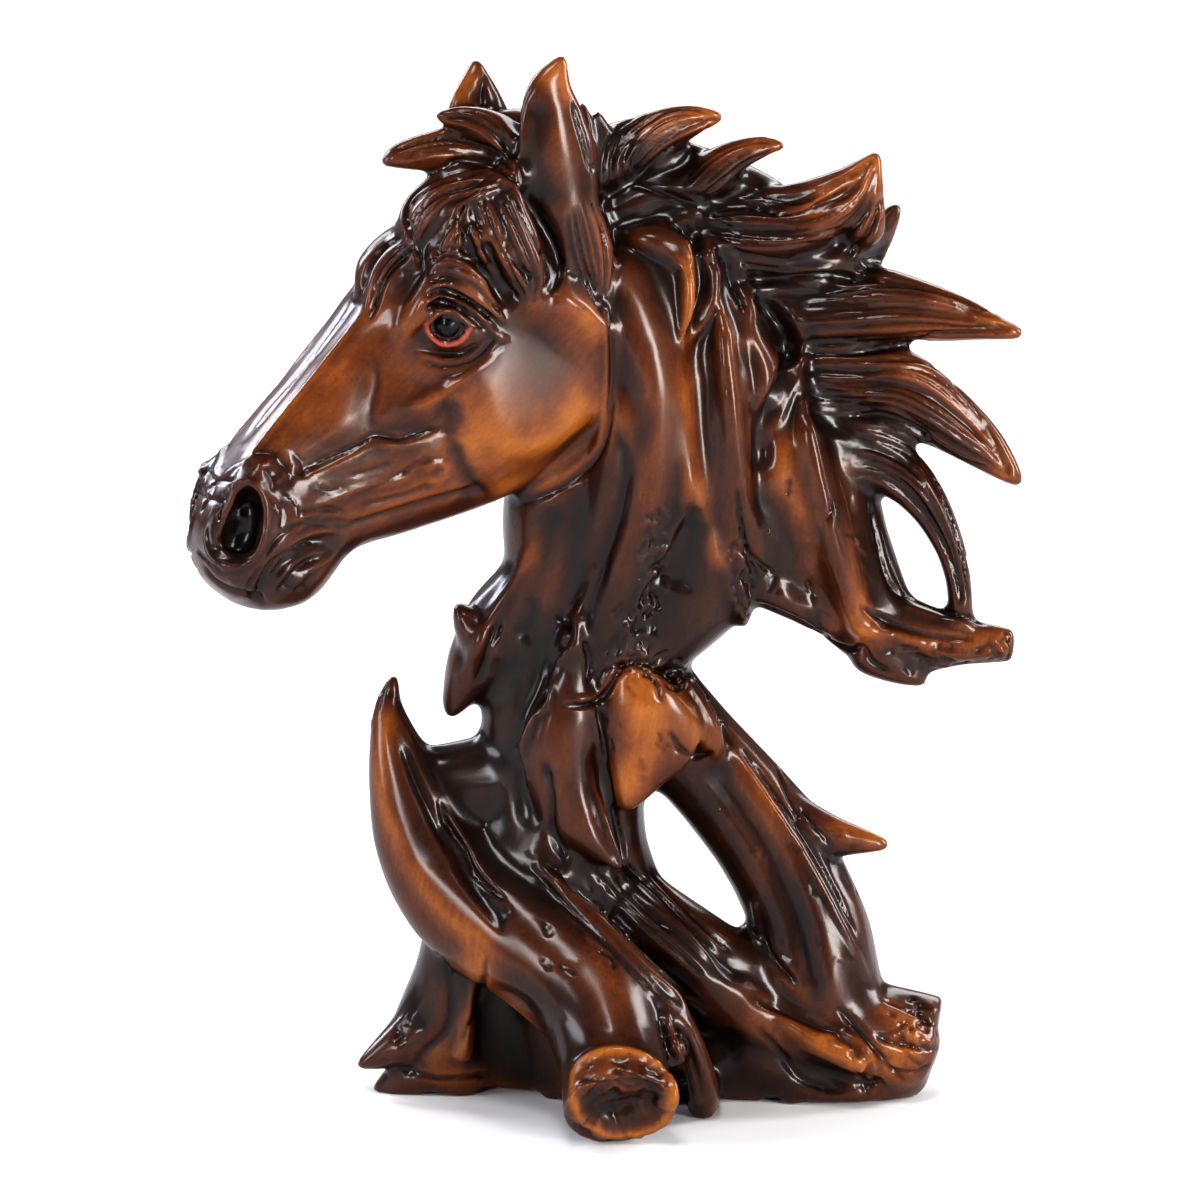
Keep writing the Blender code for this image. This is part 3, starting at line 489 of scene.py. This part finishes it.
roughSpots = [  # middle, half width and height, lean of the nicks, how many, depth, reach
    (620, 1086, 46, 26, 0, 60, 0.5, 0.8), (620, 1118, 60, 22, 60, 40, 0.6, 0.8),
    (910, 1030, 28, 34, 20, 60, 0.7, 0.8), (866, 1060, 20, 24, 40, 24, 0.5, 0.7),
    (655, 560, 16, 60, 110, 50, 0.7, 0.6), (742, 575, 10, 44, 80, 36, 0.8, 0.6),
    (640, 668, 44, 12, 10, 40, 0.6, 0.6), (640, 730, 40, 50, 60, 24, 0.2, 0.7),
    (400, 1030, 34, 44, 120, 22, 0.5, 1.1), (1004, 642, 14, 16, 90, 20, 0.5, 0.6),
    (940, 655, 60, 14, 15, 36, 0.6, 0.7), (380, 700, 12, 30, 90, 10, 0.3, 0.7),
    (632, 630, 20, 34, 110, 36, 0.6, 0.6), (760, 560, 40, 50, 75, 20, 0.3, 0.6),
    (850, 560, 50, 90, 75, 30, 0.3, 0.6), (990, 322, 24, 8, 10, 16, 0.4, 0.6),
    (560, 900, 60, 70, 45, 30, 0.3, 0.7), (800, 880, 60, 100, 60, 30, 0.25, 0.7),
]
# stain: amount, reach in millimetres, path; light amber first, then deeper stain together with painted shade in
# recesses, grooves, the nostril and the gaps between locks
amber = [
    (1.0, 8, [(478, 440), (510, 452), (556, 442), (588, 408)]),
    (0.7, 7, [(588, 408), (592, 360), (584, 330)]),
    (0.6, 6, [(350, 520), (400, 498), (452, 480)]),
    (1.0, 5.5, [(508, 486), (550, 470), (584, 446), (597, 415)]),
    (0.5, 8, [(300, 420), (345, 370), (395, 320)]),
    (0.5, 6, [(400, 380), (430, 385)]),
    (0.5, 5, [(470, 290), (490, 300)]),
    (0.82, 4.5, [(690, 262), (688, 340), (690, 420), (704, 500), (722, 552)]),
    (0.3, 7, [(640, 400), (648, 480), (616, 550)]),
    (0.8, 5, [(786, 440), (796, 510), (822, 590), (858, 640)]),
    (0.7, 4, [(842, 470), (856, 560), (870, 630)]),
    (0.8, 4, [(650, 128), (680, 120), (708, 117)]),
    (0.6, 3, [(715, 158), (745, 146), (770, 144)]),
    (0.8, 4.5, [(816, 204), (848, 190), (868, 168)]),
    (0.6, 3.5, [(940, 308), (970, 318), (1010, 326)]),
    (0.7, 4, [(912, 376), (945, 400), (985, 440), (1006, 470)]),
    (0.25, 4, [(556, 110), (562, 165), (568, 210)]),
    (0.4, 7, [(525, 322), (548, 312), (566, 320)]),
    (0.8, 3, [(548, 78), (560, 66), (565, 90)]),
    (0.42, 13, [(290, 430), (340, 380), (395, 330)]),
    (0.38, 12, [(330, 500), (390, 475), (450, 450)]),
    (0.35, 12, [(520, 400), (560, 380), (580, 330)]),
    (0.35, 9, [(404, 370), (440, 390), (480, 400)]),
    (0.3, 9, [(640, 260), (645, 340), (640, 400)]),
    (0.45, 8, [(735, 320), (750, 400), (757, 470)]),
    (0.2, 9, [(420, 150), (480, 160), (440, 210), (500, 250)]),
    (0.1, 9, [(560, 690), (570, 760), (590, 830)]),
    (0.35, 9, [(760, 230), (820, 225), (860, 205)]),
    (0.3, 10, [(850, 320), (930, 325)]),
    (0.3, 10, [(830, 375), (900, 392)]),
    (0.12, 10, [(600, 940), (640, 990)]),
    (0.2, 8, [(400, 870), (460, 920), (540, 960)]),
    (0.3, 8, [(700, 720), (760, 800)]),
    (0.4, 8, [(780, 1000), (850, 1060), (900, 1080)]),
    (0.8, 3.5, [(464, 76), (462, 100)]),
    (0.15, 8, [(420, 150), (470, 150)]),
    (0.15, 8, [(430, 210), (500, 250)]),
    (0.5, 4, [(596, 220), (606, 280)]),
    (1.0, 7, [(636, 686), (650, 726), (626, 784)]),
    (0.6, 4, [(684, 700), (700, 740)]),
    (0.2, 5, [(560, 740), (570, 800)]),
    (0.75, 3.5, [(384, 720), (380, 790), (402, 850), (440, 905), (480, 940)]),
    (0.35, 6, [(590, 970), (612, 1020), (600, 1050)]),
    (0.95, 2.2, rootRim),
    (0.5, 5, [(600, 1080), (640, 1100)]),
    (0.6, 5, [(478, 972), (500, 1000), (492, 1050)]),
    (0.45, 7, [(516, 1000), (524, 1060)]),
    (0.7, 6, [(478, 960), (470, 1010), (440, 1060), (490, 1080)]),
    (0.8, 6, [(890, 1012), (916, 1034), (886, 1060)]),
    (0.9, 3.5, [(824, 1040), (862, 1070)]),
    (0.5, 5, [(752, 780), (776, 850)]),
    (0.4, 5, [(760, 1020), (800, 1050)]),
    (0.5, 6, [(530, 550), (545, 600)]),
    (0.6, 4, [(840, 826), (876, 838)]),
    (0.6, 4, [(900, 640), (960, 640), (1000, 640)]),
]
# deeper brown stain on the mane and neck, and painted shade in recesses, grooves, the nostril and between locks
darkStainAndPaintedShade = [
    (0.9, 8, [(640, 180), (690, 190), (740, 210)]),
    (0.7, 8, [(730, 245), (790, 262), (850, 268)]),
    (0.8, 7, [(760, 310), (800, 330), (850, 330)]),
    (0.6, 7, [(820, 390), (870, 398), (900, 410)]),
    (0.8, 5, [(870, 520), (884, 570)]),
    (0.8, 6, [(515, 660), (515, 700), (505, 745)]),
    (0.8, 5, [(560, 640), (548, 690)]),
    (0.9, 8, [(700, 525), (686, 570), (655, 610), (610, 640)]),
    (0.5, 12, [(450, 780), (480, 830), (520, 880)]),
    (0.6, 7, [(690, 640), (680, 660), (700, 690)]),
    (0.5, 8, [(530, 600), (560, 620)]),
    (0.5, 6, [(470, 700), (490, 730)]),
    (0.9, 5, [(680, 610), (690, 640)]),
    (0.35, 6, [(545, 985), (552, 1050)]),
    (0.55, 3.5, [(600, 1096), (642, 1092)]),
    (0.7, 8, [(740, 1060), (790, 1090)]),
    (0.6, 4, [(530, 150), (530, 190), (545, 225)]),
    (0.9, 7, [(590, 860), (640, 910), (700, 970)]),
    (0.7, 4, [(438, 760), (480, 766)]),
    (0.5, 7, [(215, 540), (240, 585), (290, 590)]),
    (0.9, 3.5, [(236, 500), (244, 540)]),
    (1.0, 2.5, [(463, 210), (468, 240), (479, 262), (492, 286)]),
    (0.5, 16, [(740, 230), (790, 300), (830, 390)]),
    (0.4, 12, [(620, 330), (620, 400)]),
    (0.6, 6, [(600, 130), (620, 160)]),
    (0.7, 5, [(745, 600), (800, 625), (850, 650)]),
    (0.5, 5, [(770, 900), (800, 960)]),
    (0.6, 4, [(662, 780), (700, 820)]),
    (0.6, 4, [(408, 985), (420, 1030)]),
    (0.5, 5, [(770, 360), (770, 420)]),
    (0.4, 6, [(640, 250), (650, 320), (640, 380)]),
    (0.9, 3.5, [(616, 380), (614, 440), (604, 476)]),
    (0.7, 6, [(625, 520), (628, 590)]),
    (0.4, 7, [(565, 720), (575, 790)]),
    (0.4, 6, [(320, 500), (350, 515)]),
]

# how finely the casting is modelled: rounds, counts, and lengths in millimetres
sculpt = {
    "softening": 2, "skin": 0.64, "smoothing": (0.5, 2), "flatRounds": 60, "deepest": 3, "triangles": 195000,
    "eyeAt": (446, 326), "eyeRadius": 3.3, "eyeSink": 2.0, "eyeSides": 32, "plugSides": 24,
    "tubeSides": 3, "taper": 0.35, "merge": 0.01,
    "seeds": {"head": 3, "front": 9, "mane": 5, "nicks": 7},
}
# chance in the strands and nicks: spread in drawing points and degrees, ranges as shares of what the tables give
scatter = {
    "sway": 1.2, "strandDepth": (0.6, 1.3), "strandReach": (0.8, 1.2),
    "nickLean": 25, "nickLength": (6, 20), "nickDepth": (-0.8, 1.2), "nickReach": (0.7, 1.3),
}


def drawnStrokes(tree, table, mirrored=False, backed=False, backShare=0.8):
    found = []
    for depth, reach, path in table:
        points, normals = layFront(tree, path)
        found.append((points, normals, depth, reach))
        other = layMirrored(tree, points) if mirrored else layBack(tree, points) if backed else None
        if other:
            found.append((*other, depth * backShare, reach))
    return found


def strandStrokes(locks, seed):  # every strand of each lock, each a little deeper or shallower
    chance = np.random.default_rng(seed)
    found = []
    for first, last, count, depth, reach in locks:
        for path in between(first, last, count):
            sway = chance.normal(0, scatter["sway"], (2,))
            deep = depth * chance.uniform(*scatter["strandDepth"])
            found.append((deep, reach * chance.uniform(*scatter["strandReach"]), path + sway))
    return found


def pitStrokes(seed):  # short nicks and crumbs scattered over each rough spot
    chance = np.random.default_rng(seed)
    found = []
    for u, v, wide, tall, lean, count, depth, reach in roughSpots:
        for _ in range(count):
            turn, out = chance.uniform(0, 2 * math.pi), math.sqrt(chance.uniform(0, 1))
            start = np.array((u + wide * out * math.cos(turn), v + tall * out * math.sin(turn)))
            way = math.radians(lean + chance.normal(0, scatter["nickLean"]))
            run = chance.uniform(*scatter["nickLength"]) * np.array((math.cos(way), math.sin(way)))
            deep = depth * chance.uniform(*scatter["nickDepth"])
            found.append((deep, reach * chance.uniform(*scatter["nickReach"]), [start, start + run]))
    return found


def eyePlaces(tree):  # the seen eye and its twin
    hit, normal, _, _ = tree.ray_cast(*sightLine(*sculpt["eyeAt"]))
    near = hit - normal * sculpt["eyeSink"] * mm
    out = Vector(headSide())
    far = near - 2 * (near - Vector(head["pivot"])).dot(out) * out
    return near, far


def raisedForms(tree):  # curves with a round section, as one mesh
    drawing = bpy.data.curves.new("raised_forms", "CURVE")
    drawing.dimensions = "3D"
    drawing.bevel_depth = 1
    drawing.bevel_resolution = sculpt["tubeSides"]
    drawing.use_fill_caps = True
    runs = []
    for thick, lift, path in headRidges:
        points, normals = layFront(tree, path)
        runs.append((points, normals, thick, lift))
        other = layMirrored(tree, points)
        if other:
            runs.append((*other, thick, lift))
    for points, normals, thick, lift in runs:
        spline = drawing.splines.new("POLY")
        spline.points.add(len(points) - 1)
        for i, (place, normal) in enumerate(zip(points, normals)):
            share = i / (len(points) - 1)
            swell = sculpt["taper"] + (1 - sculpt["taper"]) * math.sin(math.pi * share) ** 0.5
            spline.points[i].co = (*(place + normal * lift * mm), 1)
            spline.points[i].radius = thick * mm * swell
    holder = bpy.data.objects.new("raised_forms", drawing)
    bpy.context.scene.collection.objects.link(holder)
    bpy.context.view_layer.update()
    forms = bpy.data.meshes.new_from_object(holder.evaluated_get(bpy.context.evaluated_depsgraph_get()))
    bpy.data.objects.remove(holder)
    return forms


def addBall(clay, place, radius, sides):
    ball = bmesh.ops.create_uvsphere(clay, u_segments=sides, v_segments=sides // 2, radius=radius * mm)
    bmesh.ops.translate(clay, verts=ball["verts"], vec=place)


def makeSculpt():
    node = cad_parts["horse_head_figurine"]
    clay = bmesh.new()
    clay.from_mesh(node.data)
    bmesh.ops.remove_doubles(clay, verts=clay.verts, dist=sculpt["merge"] * mm)
    mesh = bpy.data.meshes.new("softened")
    clay.to_mesh(mesh)
    clay.free()
    levels = sculpt["softening"]
    mesh = shaped(mesh, "softened", [("SUBSURF", {"levels": levels, "render_levels": levels})])
    print("softened", len(mesh.vertices))
    tree = treeOf(mesh)
    eyes = eyePlaces(tree)
    places, facing = readVectors(mesh, "co"), readVectors(mesh, "normal")
    places += facing * press(places, facing, drawnStrokes(tree, hollows, mirrored=True, backShare=1))[:, None]
    mesh.vertices.foreach_set("co", places.ravel())
    forms = raisedForms(tree)
    clay = bmesh.new()
    clay.from_mesh(mesh)
    clay.from_mesh(forms)
    for first, last, radius, under in plugs:
        points, normals = layFront(tree, [first, last], spacing=1000)  # the two ends and the middle alone
        middle = (points[0] + points[-1]) / 2 - (normals[0] + normals[-1]) / 2 * under * mm
        addBall(clay, middle, radius, sculpt["plugSides"])
    for place in eyes:
        addBall(clay, place, sculpt["eyeRadius"], sculpt["eyeSides"])
    clay.to_mesh(mesh)
    clay.free()
    factor, rounds = sculpt["smoothing"]
    mesh = shaped(mesh, "skin", [
        ("REMESH", {"mode": "VOXEL", "voxel_size": sculpt["skin"] * mm}),
        ("SMOOTH", {"factor": factor, "iterations": rounds}),
    ])
    print("skin", len(mesh.vertices))
    tree = treeOf(mesh)
    places, facing = readVectors(mesh, "co"), readVectors(mesh, "normal")
    places = evenOut(mesh, tree, places)
    seeds = sculpt["seeds"]
    strokes = drawnStrokes(tree, headGrooves + headSwells, mirrored=True)
    strokes += drawnStrokes(tree, strandStrokes(headLocks, seeds["head"]), mirrored=True)
    strokes += drawnStrokes(tree, strandStrokes(frontLocks, seeds["front"]) + headLines)
    strokes += drawnStrokes(tree, strandStrokes(maneLocks, seeds["mane"]) + maneLines, backed=True)
    strokes += drawnStrokes(tree, neckGrooves + standGrooves + bodySwells)
    strokes += drawnStrokes(tree, rims + pitStrokes(seeds["nicks"]))
    deepest = sculpt["deepest"] * mm
    places += facing * np.clip(press(places, facing, strokes), -deepest, deepest)[:, None]
    mesh.vertices.foreach_set("co", places.ravel())
    faces = 2 * len(mesh.polygons)
    mesh = shaped(mesh, "thinned", [("DECIMATE", {"ratio": min(1, sculpt["triangles"] / faces)})])
    print("thinned", len(mesh.polygons))
    return mesh, eyes


def seated(mesh):  # nothing hangs below the surface that the figure stands on
    places = readVectors(mesh, "co")
    places[:, 2] = np.maximum(places[:, 2], 0)
    mesh.vertices.foreach_set("co", places.ravel())


def blurred(values, edges, rounds):  # each point takes the mean of its neighbours, over and over
    count = len(values)
    near = np.bincount(edges.ravel(), minlength=count)[:, None]
    for _ in range(rounds):
        total = np.empty_like(values)
        for k in range(values.shape[1]):
            total[:, k] = np.bincount(edges[:, 0], values[edges[:, 1], k], count)
            total[:, k] += np.bincount(edges[:, 1], values[edges[:, 0], k], count)
        values = total / near
    return values


def edgesOf(mesh):
    edges = np.empty(len(mesh.edges) * 2, np.int64)
    mesh.edges.foreach_get("vertices", edges)
    return edges.reshape(-1, 2)


def evenOut(mesh, tree, places):  # rounds off the flats where the skin is smooth
    soft = blurred(places, edgesOf(mesh), sculpt["flatRounds"])
    share = np.zeros(len(places))
    for reach, path in evened:
        points, normals = layFront(tree, path, spacing=8)
        for run in ((points, normals), layMirrored(tree, points)):
            near, gap, _ = strokeTouch(places, run[0], reach * mm)
            share[near] = np.maximum(share[near], np.exp(-gap / (reach * mm) ** 2))
    return places + (soft - places) * share[:, None]


def drawnPlaces(places):  # where each place falls on the front drawing
    eye, ahead, above = (np.array(part) for part in sightAxes())
    away = places - eye
    reach = view["lens"] / view["sensor"] * view["drawing"] / (away @ ahead)
    half = view["drawing"] / 2
    return half + away[:, 0] * reach, half - (away @ above) * reach


def addMask(mesh, name, values):
    mask = mesh.attributes.new(name, "FLOAT", "POINT")
    mask.data.foreach_set("value", values.astype(np.float32))


# where the stain, the painted shade and the grain change: rounds and depths of the hollows that take painted
# shade, and edges as place and width of the fade
masks = {
    "fineRounds": 3, "fineDepth": 0.12, "broadRounds": 40, "broadDepth": 1.0, "stainSpacing": 12,
    "headFoot": (600, 12), "headBack": (604, 8), "maneFront": (735, -10), "maneFoot": (440, 14),
    "crestFront": (600, -8), "crestFoot": (195, 8), "rimSpacing": 2, "rimReach": 0.42, "rimGain": 1.5,
}


def softStep(values, edge):  # one before the edge and nought past it, or the other way with a width below nought
    middle, width = edge
    return 1 / (1 + np.exp((values - middle) / width))


def paint(mesh):
    places, facing = readVectors(mesh, "co"), readVectors(mesh, "normal")
    edges = edgesOf(mesh)
    # fine creases get darker as stain settled there together with painted shade; broad hollows get painted shade
    for name, size in (("crevice", "fine"), ("hollow", "broad")):
        sunk = blurred(places, edges, masks[size + "Rounds"]) - places
        sunk = (sunk * facing).sum(axis=1) / mm
        addMask(mesh, name, np.clip(sunk / masks[size + "Depth"], -1, 1))
    tree = treeOf(mesh)
    # amber is the lighter stain; the shade mask is deeper stain together with painted shade in recesses, grooves
    # and between locks
    for name, table in (("amber", amber), ("shade", darkStainAndPaintedShade)):
        left = np.ones(len(places))
        for amount, reach, path in table:
            points, normals = layFront(tree, path, masks["stainSpacing"])
            for run in ((points, normals), layBack(tree, points)):
                if run is None:
                    continue
                near, gap, _ = strokeTouch(places, run[0], reach * mm)
                left[near] *= 1 - amount * np.exp(-gap / (reach * mm) ** 2)
        addMask(mesh, name, 1 - left)
    u, v = drawnPlaces(places)
    addMask(mesh, "headGrain", softStep(v, masks["headFoot"]) * softStep(u, masks["headBack"]))
    addMask(mesh, "maneGrain", np.maximum(
        softStep(u, masks["maneFront"]) * softStep(v, masks["maneFoot"]),
        softStep(u, masks["crestFront"]) * softStep(v, masks["crestFoot"]),
    ))
    rim = np.zeros(len(places))
    lowerLid = headRidges[1][2]
    reach = masks["rimReach"] * mm
    points, normals = layFront(tree, lowerLid, masks["rimSpacing"])
    for run in ((points, normals), layMirrored(tree, points)):
        near, gap, _ = strokeTouch(places, run[0], reach)
        rim[near] = np.maximum(rim[near], np.exp(-gap / reach ** 2))
    addMask(mesh, "lidRim", np.clip(masks["rimGain"] * rim, 0, 1))


# finish of the stained and lacquered resin, with painted shade in its hollows, creases and recesses
resin = {
    "tones": [
        (0.0, (0.008, 0.0025, 0.0012)), (0.22, (0.026, 0.0065, 0.002)), (0.42, (0.072, 0.0185, 0.004)),
        (0.60, (0.15, 0.043, 0.008)), (0.8, (0.29, 0.098, 0.015)), (1.0, (0.46, 0.19, 0.036)),
    ],
    # shade, hollow and crevice lower the tone: painted shade in recesses, valleys and creases, with some real
    # stain among it
    "middle": 0.135, "amber": 0.50, "shade": -0.14, "hollow": -0.10, "crevice": -0.10,
    "mottle": 0.24, "speckle": 0.16, "streaks": 0.20,
    "roughness": 0.38, "roughMottle": 0.25, "specular": 0.15, "coat": 0.62, "coatRoughness": 0.2,
    "lidColour": (0.33, 0.075, 0.05), "eyeColour": (0.004, 0.003, 0.003), "eyeEdge": (0.22, 0.08),
    "eyeCoat": 0.45, "eyeSmooth": -0.22,
    "bump": 0.4, "bumpDepth": 0.2, "bumpSpeckle": 0.35, "bumpStreaks": 1.4,
}
# noise as scale and detail; each run of the streaks as lean in degrees and stretch
grain = {
    "speckle": (1100, 3), "mottle": (90, 5), "waves": (330, 4), "streaks": (750, 3), "roughness": 0.6,
    "neckRun": (8, (1, 1, 9)), "headRun": (48, (1, 1, 9)), "maneRun": (12, (9, 1, 1)),
}


def nodeMaker(tree):  # inputs are given by name, or by number as i0, i1 and so on
    def make(kind, settings=None, **inputs):
        node = tree.nodes.new(kind)
        for setting, value in (settings or {}).items():
            setattr(node, setting, value)
        for name, value in inputs.items():
            numbered = name[0] == "i" and name[1:].isdigit()
            socket = node.inputs[int(name[1:]) if numbered else name]
            if isinstance(value, bpy.types.NodeSocket):
                tree.links.new(value, socket)
            else:
                socket.default_value = value
        return node
    return make


def grainGroup():  # speckle, cloudy mottle, the lacquer's waves, and streaks that follow head, neck and mane
    group = bpy.data.node_groups.new("resinGrain", "ShaderNodeTree")
    group.interface.new_socket("Place", in_out="INPUT", socket_type="NodeSocketVector")
    for name in ("Head", "Mane"):
        group.interface.new_socket(name, in_out="INPUT", socket_type="NodeSocketFloat")
    for name in ("Speckle", "Mottle", "Waves", "Streaks"):
        group.interface.new_socket(name, in_out="OUTPUT", socket_type="NodeSocketFloat")
    make = nodeMaker(group)
    given = make("NodeGroupInput")
    place = given.outputs["Place"]
    out = make("NodeGroupOutput")

    def noise(vector, name):
        scale, detail = grain[name]
        node = make("ShaderNodeTexNoise", Vector=vector, Scale=scale, Detail=detail, Roughness=grain["roughness"])
        return node.outputs["Fac"]

    def streaks(name):
        lean, stretch = grain[name]
        turn = (0, math.radians(lean), 0)
        turned = make("ShaderNodeMapping", {"vector_type": "TEXTURE"}, Vector=place, Rotation=turn, Scale=stretch)
        return noise(turned.outputs["Vector"], "streaks")

    run = make("ShaderNodeMix", i0=given.outputs["Head"], i2=streaks("neckRun"), i3=streaks("headRun")).outputs[0]
    run = make("ShaderNodeMix", i0=given.outputs["Mane"], i2=run, i3=streaks("maneRun")).outputs[0]
    for name in ("Speckle", "Mottle", "Waves"):
        group.links.new(noise(place, name.lower()), out.inputs[name])
    group.links.new(run, out.inputs["Streaks"])
    return group


def resinMaterial(eyes):
    material = bpy.data.materials.new("stainedResin")
    material.use_nodes = True
    tree = material.node_tree
    tree.nodes.clear()
    make = nodeMaker(tree)

    def maths(operation, first, second, third=0.0, clamp=False):
        settings = {"operation": operation, "use_clamp": clamp}
        return make("ShaderNodeMath", settings, i0=first, i1=second, i2=third).outputs[0]

    def mask(name):
        return make("ShaderNodeAttribute", {"attribute_name": name}).outputs["Fac"]

    place = make("ShaderNodeTexCoord").outputs["Object"]
    wood = make("ShaderNodeGroup", {"node_tree": grainGroup()})
    tree.links.new(place, wood.inputs["Place"])
    tree.links.new(mask("headGrain"), wood.inputs["Head"])
    tree.links.new(mask("maneGrain"), wood.inputs["Mane"])
    tone = resin["middle"]
    # the shade, hollow and crevice masks darken the tone: painted shade in recesses, valleys and creases, with
    # some real stain
    for name in ("amber", "shade", "hollow", "crevice"):
        tone = maths("MULTIPLY_ADD", mask(name), resin[name], tone)
    for name in ("Mottle", "Speckle", "Streaks"):  # each noise lies about a half
        centred = maths("SUBTRACT", wood.outputs[name], 0.5)
        tone = maths("MULTIPLY_ADD", centred, resin[name.lower()], tone, clamp=name == "Streaks")
    ramp = make("ShaderNodeValToRGB", Fac=tone)
    stops = ramp.color_ramp.elements
    while len(stops) < len(resin["tones"]):
        stops.new(0.5)
    for stop, (position, colour) in zip(stops, resin["tones"]):
        stop.position = position
        stop.color = (*colour, 1)

    def over(colour, share, name):  # one colour laid over another
        top = (*resin[name], 1)
        return make("ShaderNodeMix", {"data_type": "RGBA"}, i0=share, i6=colour, i7=top).outputs[2]

    eyeMasks = []
    outer, inner = ((sculpt["eyeRadius"] + edge) * mm for edge in resin["eyeEdge"])
    for spot in eyes:
        gap = make("ShaderNodeVectorMath", {"operation": "DISTANCE"}, i0=place, i1=tuple(spot)).outputs["Value"]
        eyeMasks.append(make("ShaderNodeMapRange", i0=gap, i1=outer, i2=inner, i3=0.0, i4=1.0).outputs[0])
    ball = maths("MAXIMUM", *eyeMasks)
    final = over(over(ramp.outputs["Color"], mask("lidRim"), "lidColour"), ball, "eyeColour")
    rough = maths("MULTIPLY_ADD", wood.outputs["Mottle"], resin["roughMottle"], resin["roughness"])
    rough = maths("MULTIPLY_ADD", ball, resin["eyeSmooth"], rough, clamp=True)
    height = maths("MULTIPLY_ADD", wood.outputs["Speckle"], resin["bumpSpeckle"], wood.outputs["Waves"])
    height = maths("MULTIPLY_ADD", wood.outputs["Streaks"], resin["bumpStreaks"], height)
    height = maths("MULTIPLY", height, maths("SUBTRACT", 1.0, ball))
    bump = make("ShaderNodeBump", Strength=resin["bump"], Distance=resin["bumpDepth"] * mm, Height=height)
    shader = make("ShaderNodeBsdfPrincipled", Roughness=rough, Normal=bump.outputs["Normal"])
    tree.links.new(final, shader.inputs["Base Color"])
    shader.inputs["Specular IOR Level"].default_value = resin["specular"]
    lacquer = maths("MULTIPLY_ADD", ball, resin["eyeCoat"] - resin["coat"], resin["coat"])
    tree.links.new(lacquer, shader.inputs["Coat Weight"])
    shader.inputs["Coat Roughness"].default_value = resin["coatRoughness"]
    output = make("ShaderNodeOutputMaterial")
    tree.links.new(shader.outputs[0], output.inputs["Surface"])
    return material


mesh, eyes = makeSculpt()
seated(mesh)
paint(mesh)
mesh.shade_smooth()
mesh.name = "horse_head_casting"
casting = bpy.data.objects.new("horse_head_casting", mesh)
bpy.context.scene.collection.objects.link(casting)
mesh.materials.clear()
mesh.materials.append(resinMaterial(eyes))
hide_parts("horse_head_figurine")
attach(casting, "root")
print("casting", len(mesh.vertices), "points")

# studio: a pale floor that runs on as the backdrop, soft boxes at both sides and above
studio = {
    "floor": (0.8, 0.8, 0.81), "floorSize": 16, "floorRoughness": 0.9,
    "sky": 0.045, "skyColour": (0.95, 0.97, 1.0), "look": "High Contrast",
    "boxes": [  # place, size across and up, power, colour
        ((1.05, -1.2, 0.45), (0.38, 0.8), 20, (1.0, 0.97, 0.94)),
        ((-0.8, -1.25, 0.5), (0.24, 0.5), 6, (0.96, 0.97, 1.0)),
        ((-1.5, -0.45, 0.6), (0.45, 0.85), 10, (0.90, 0.93, 1.0)),
        ((1.5, 0.3, 0.75), (0.42, 0.95), 17, (0.97, 0.98, 1.0)),
        ((-1.15, 0.95, 0.95), (0.4, 0.85), 14, (0.86, 0.88, 1.0)),
        ((-0.1, -0.7, 1.5), (0.45, 0.35), 7, (1.0, 1.0, 1.0)),
    ],
    "farBox": ((0.0, 4.3, 2.4), (6.0, 2.4), 190, (1.0, 1.0, 1.0)), "farTilt": -12,  # lights the backdrop alone
}


def makeStudio():
    clay = bmesh.new()
    bmesh.ops.create_grid(clay, x_segments=2, y_segments=2, size=studio["floorSize"] / 2)
    floorMesh = bpy.data.meshes.new("floor")
    clay.to_mesh(floorMesh)
    clay.free()
    floor = bpy.data.objects.new("floor", floorMesh)
    bpy.context.scene.collection.objects.link(floor)
    pale = bpy.data.materials.new("paleFloor")
    pale.use_nodes = True
    shader = pale.node_tree.nodes["Principled BSDF"]
    shader.inputs["Base Color"].default_value = (*studio["floor"], 1)
    shader.inputs["Roughness"].default_value = studio["floorRoughness"]
    floorMesh.materials.append(pale)
    for i, (place, (wide, tall), power, colour) in enumerate([*studio["boxes"], studio["farBox"]]):
        box = bpy.data.lights.new(f"soft_box_{i + 1}", "AREA")
        box.shape = "RECTANGLE"
        box.size, box.size_y = wide, tall
        box.energy = power
        box.color = colour
        holder = bpy.data.objects.new(box.name, box)
        holder.location = place
        holder.rotation_euler = (Vector(place) - Vector(view["aim"])).to_track_quat("Z", "Y").to_euler()
        if i == len(studio["boxes"]):
            holder.rotation_euler = (math.radians(studio["farTilt"]), 0, 0)
        bpy.context.scene.collection.objects.link(holder)
    sky = bpy.data.worlds.new("paleRoom")
    sky.use_nodes = True
    background = sky.node_tree.nodes["Background"]
    background.inputs["Color"].default_value = (*studio["skyColour"], 1)
    background.inputs["Strength"].default_value = studio["sky"]
    bpy.context.scene.world = sky
    bpy.context.scene.view_settings.view_transform = "Standard"
    bpy.context.scene.view_settings.look = studio["look"]


def makeCamera():
    eye, ahead, _ = sightAxes()
    lens = bpy.data.cameras.new("front_view")
    lens.lens = view["lens"]
    lens.sensor_width = view["sensor"]
    lens.clip_end = view["farEnd"]
    camera = bpy.data.objects.new("front_view", lens)
    camera.location = eye
    camera.rotation_euler = (-ahead).to_track_quat("Z", "Y").to_euler()
    bpy.context.scene.collection.objects.link(camera)
    bpy.context.scene.camera = camera


makeStudio()
makeCamera()
print("studio ready")
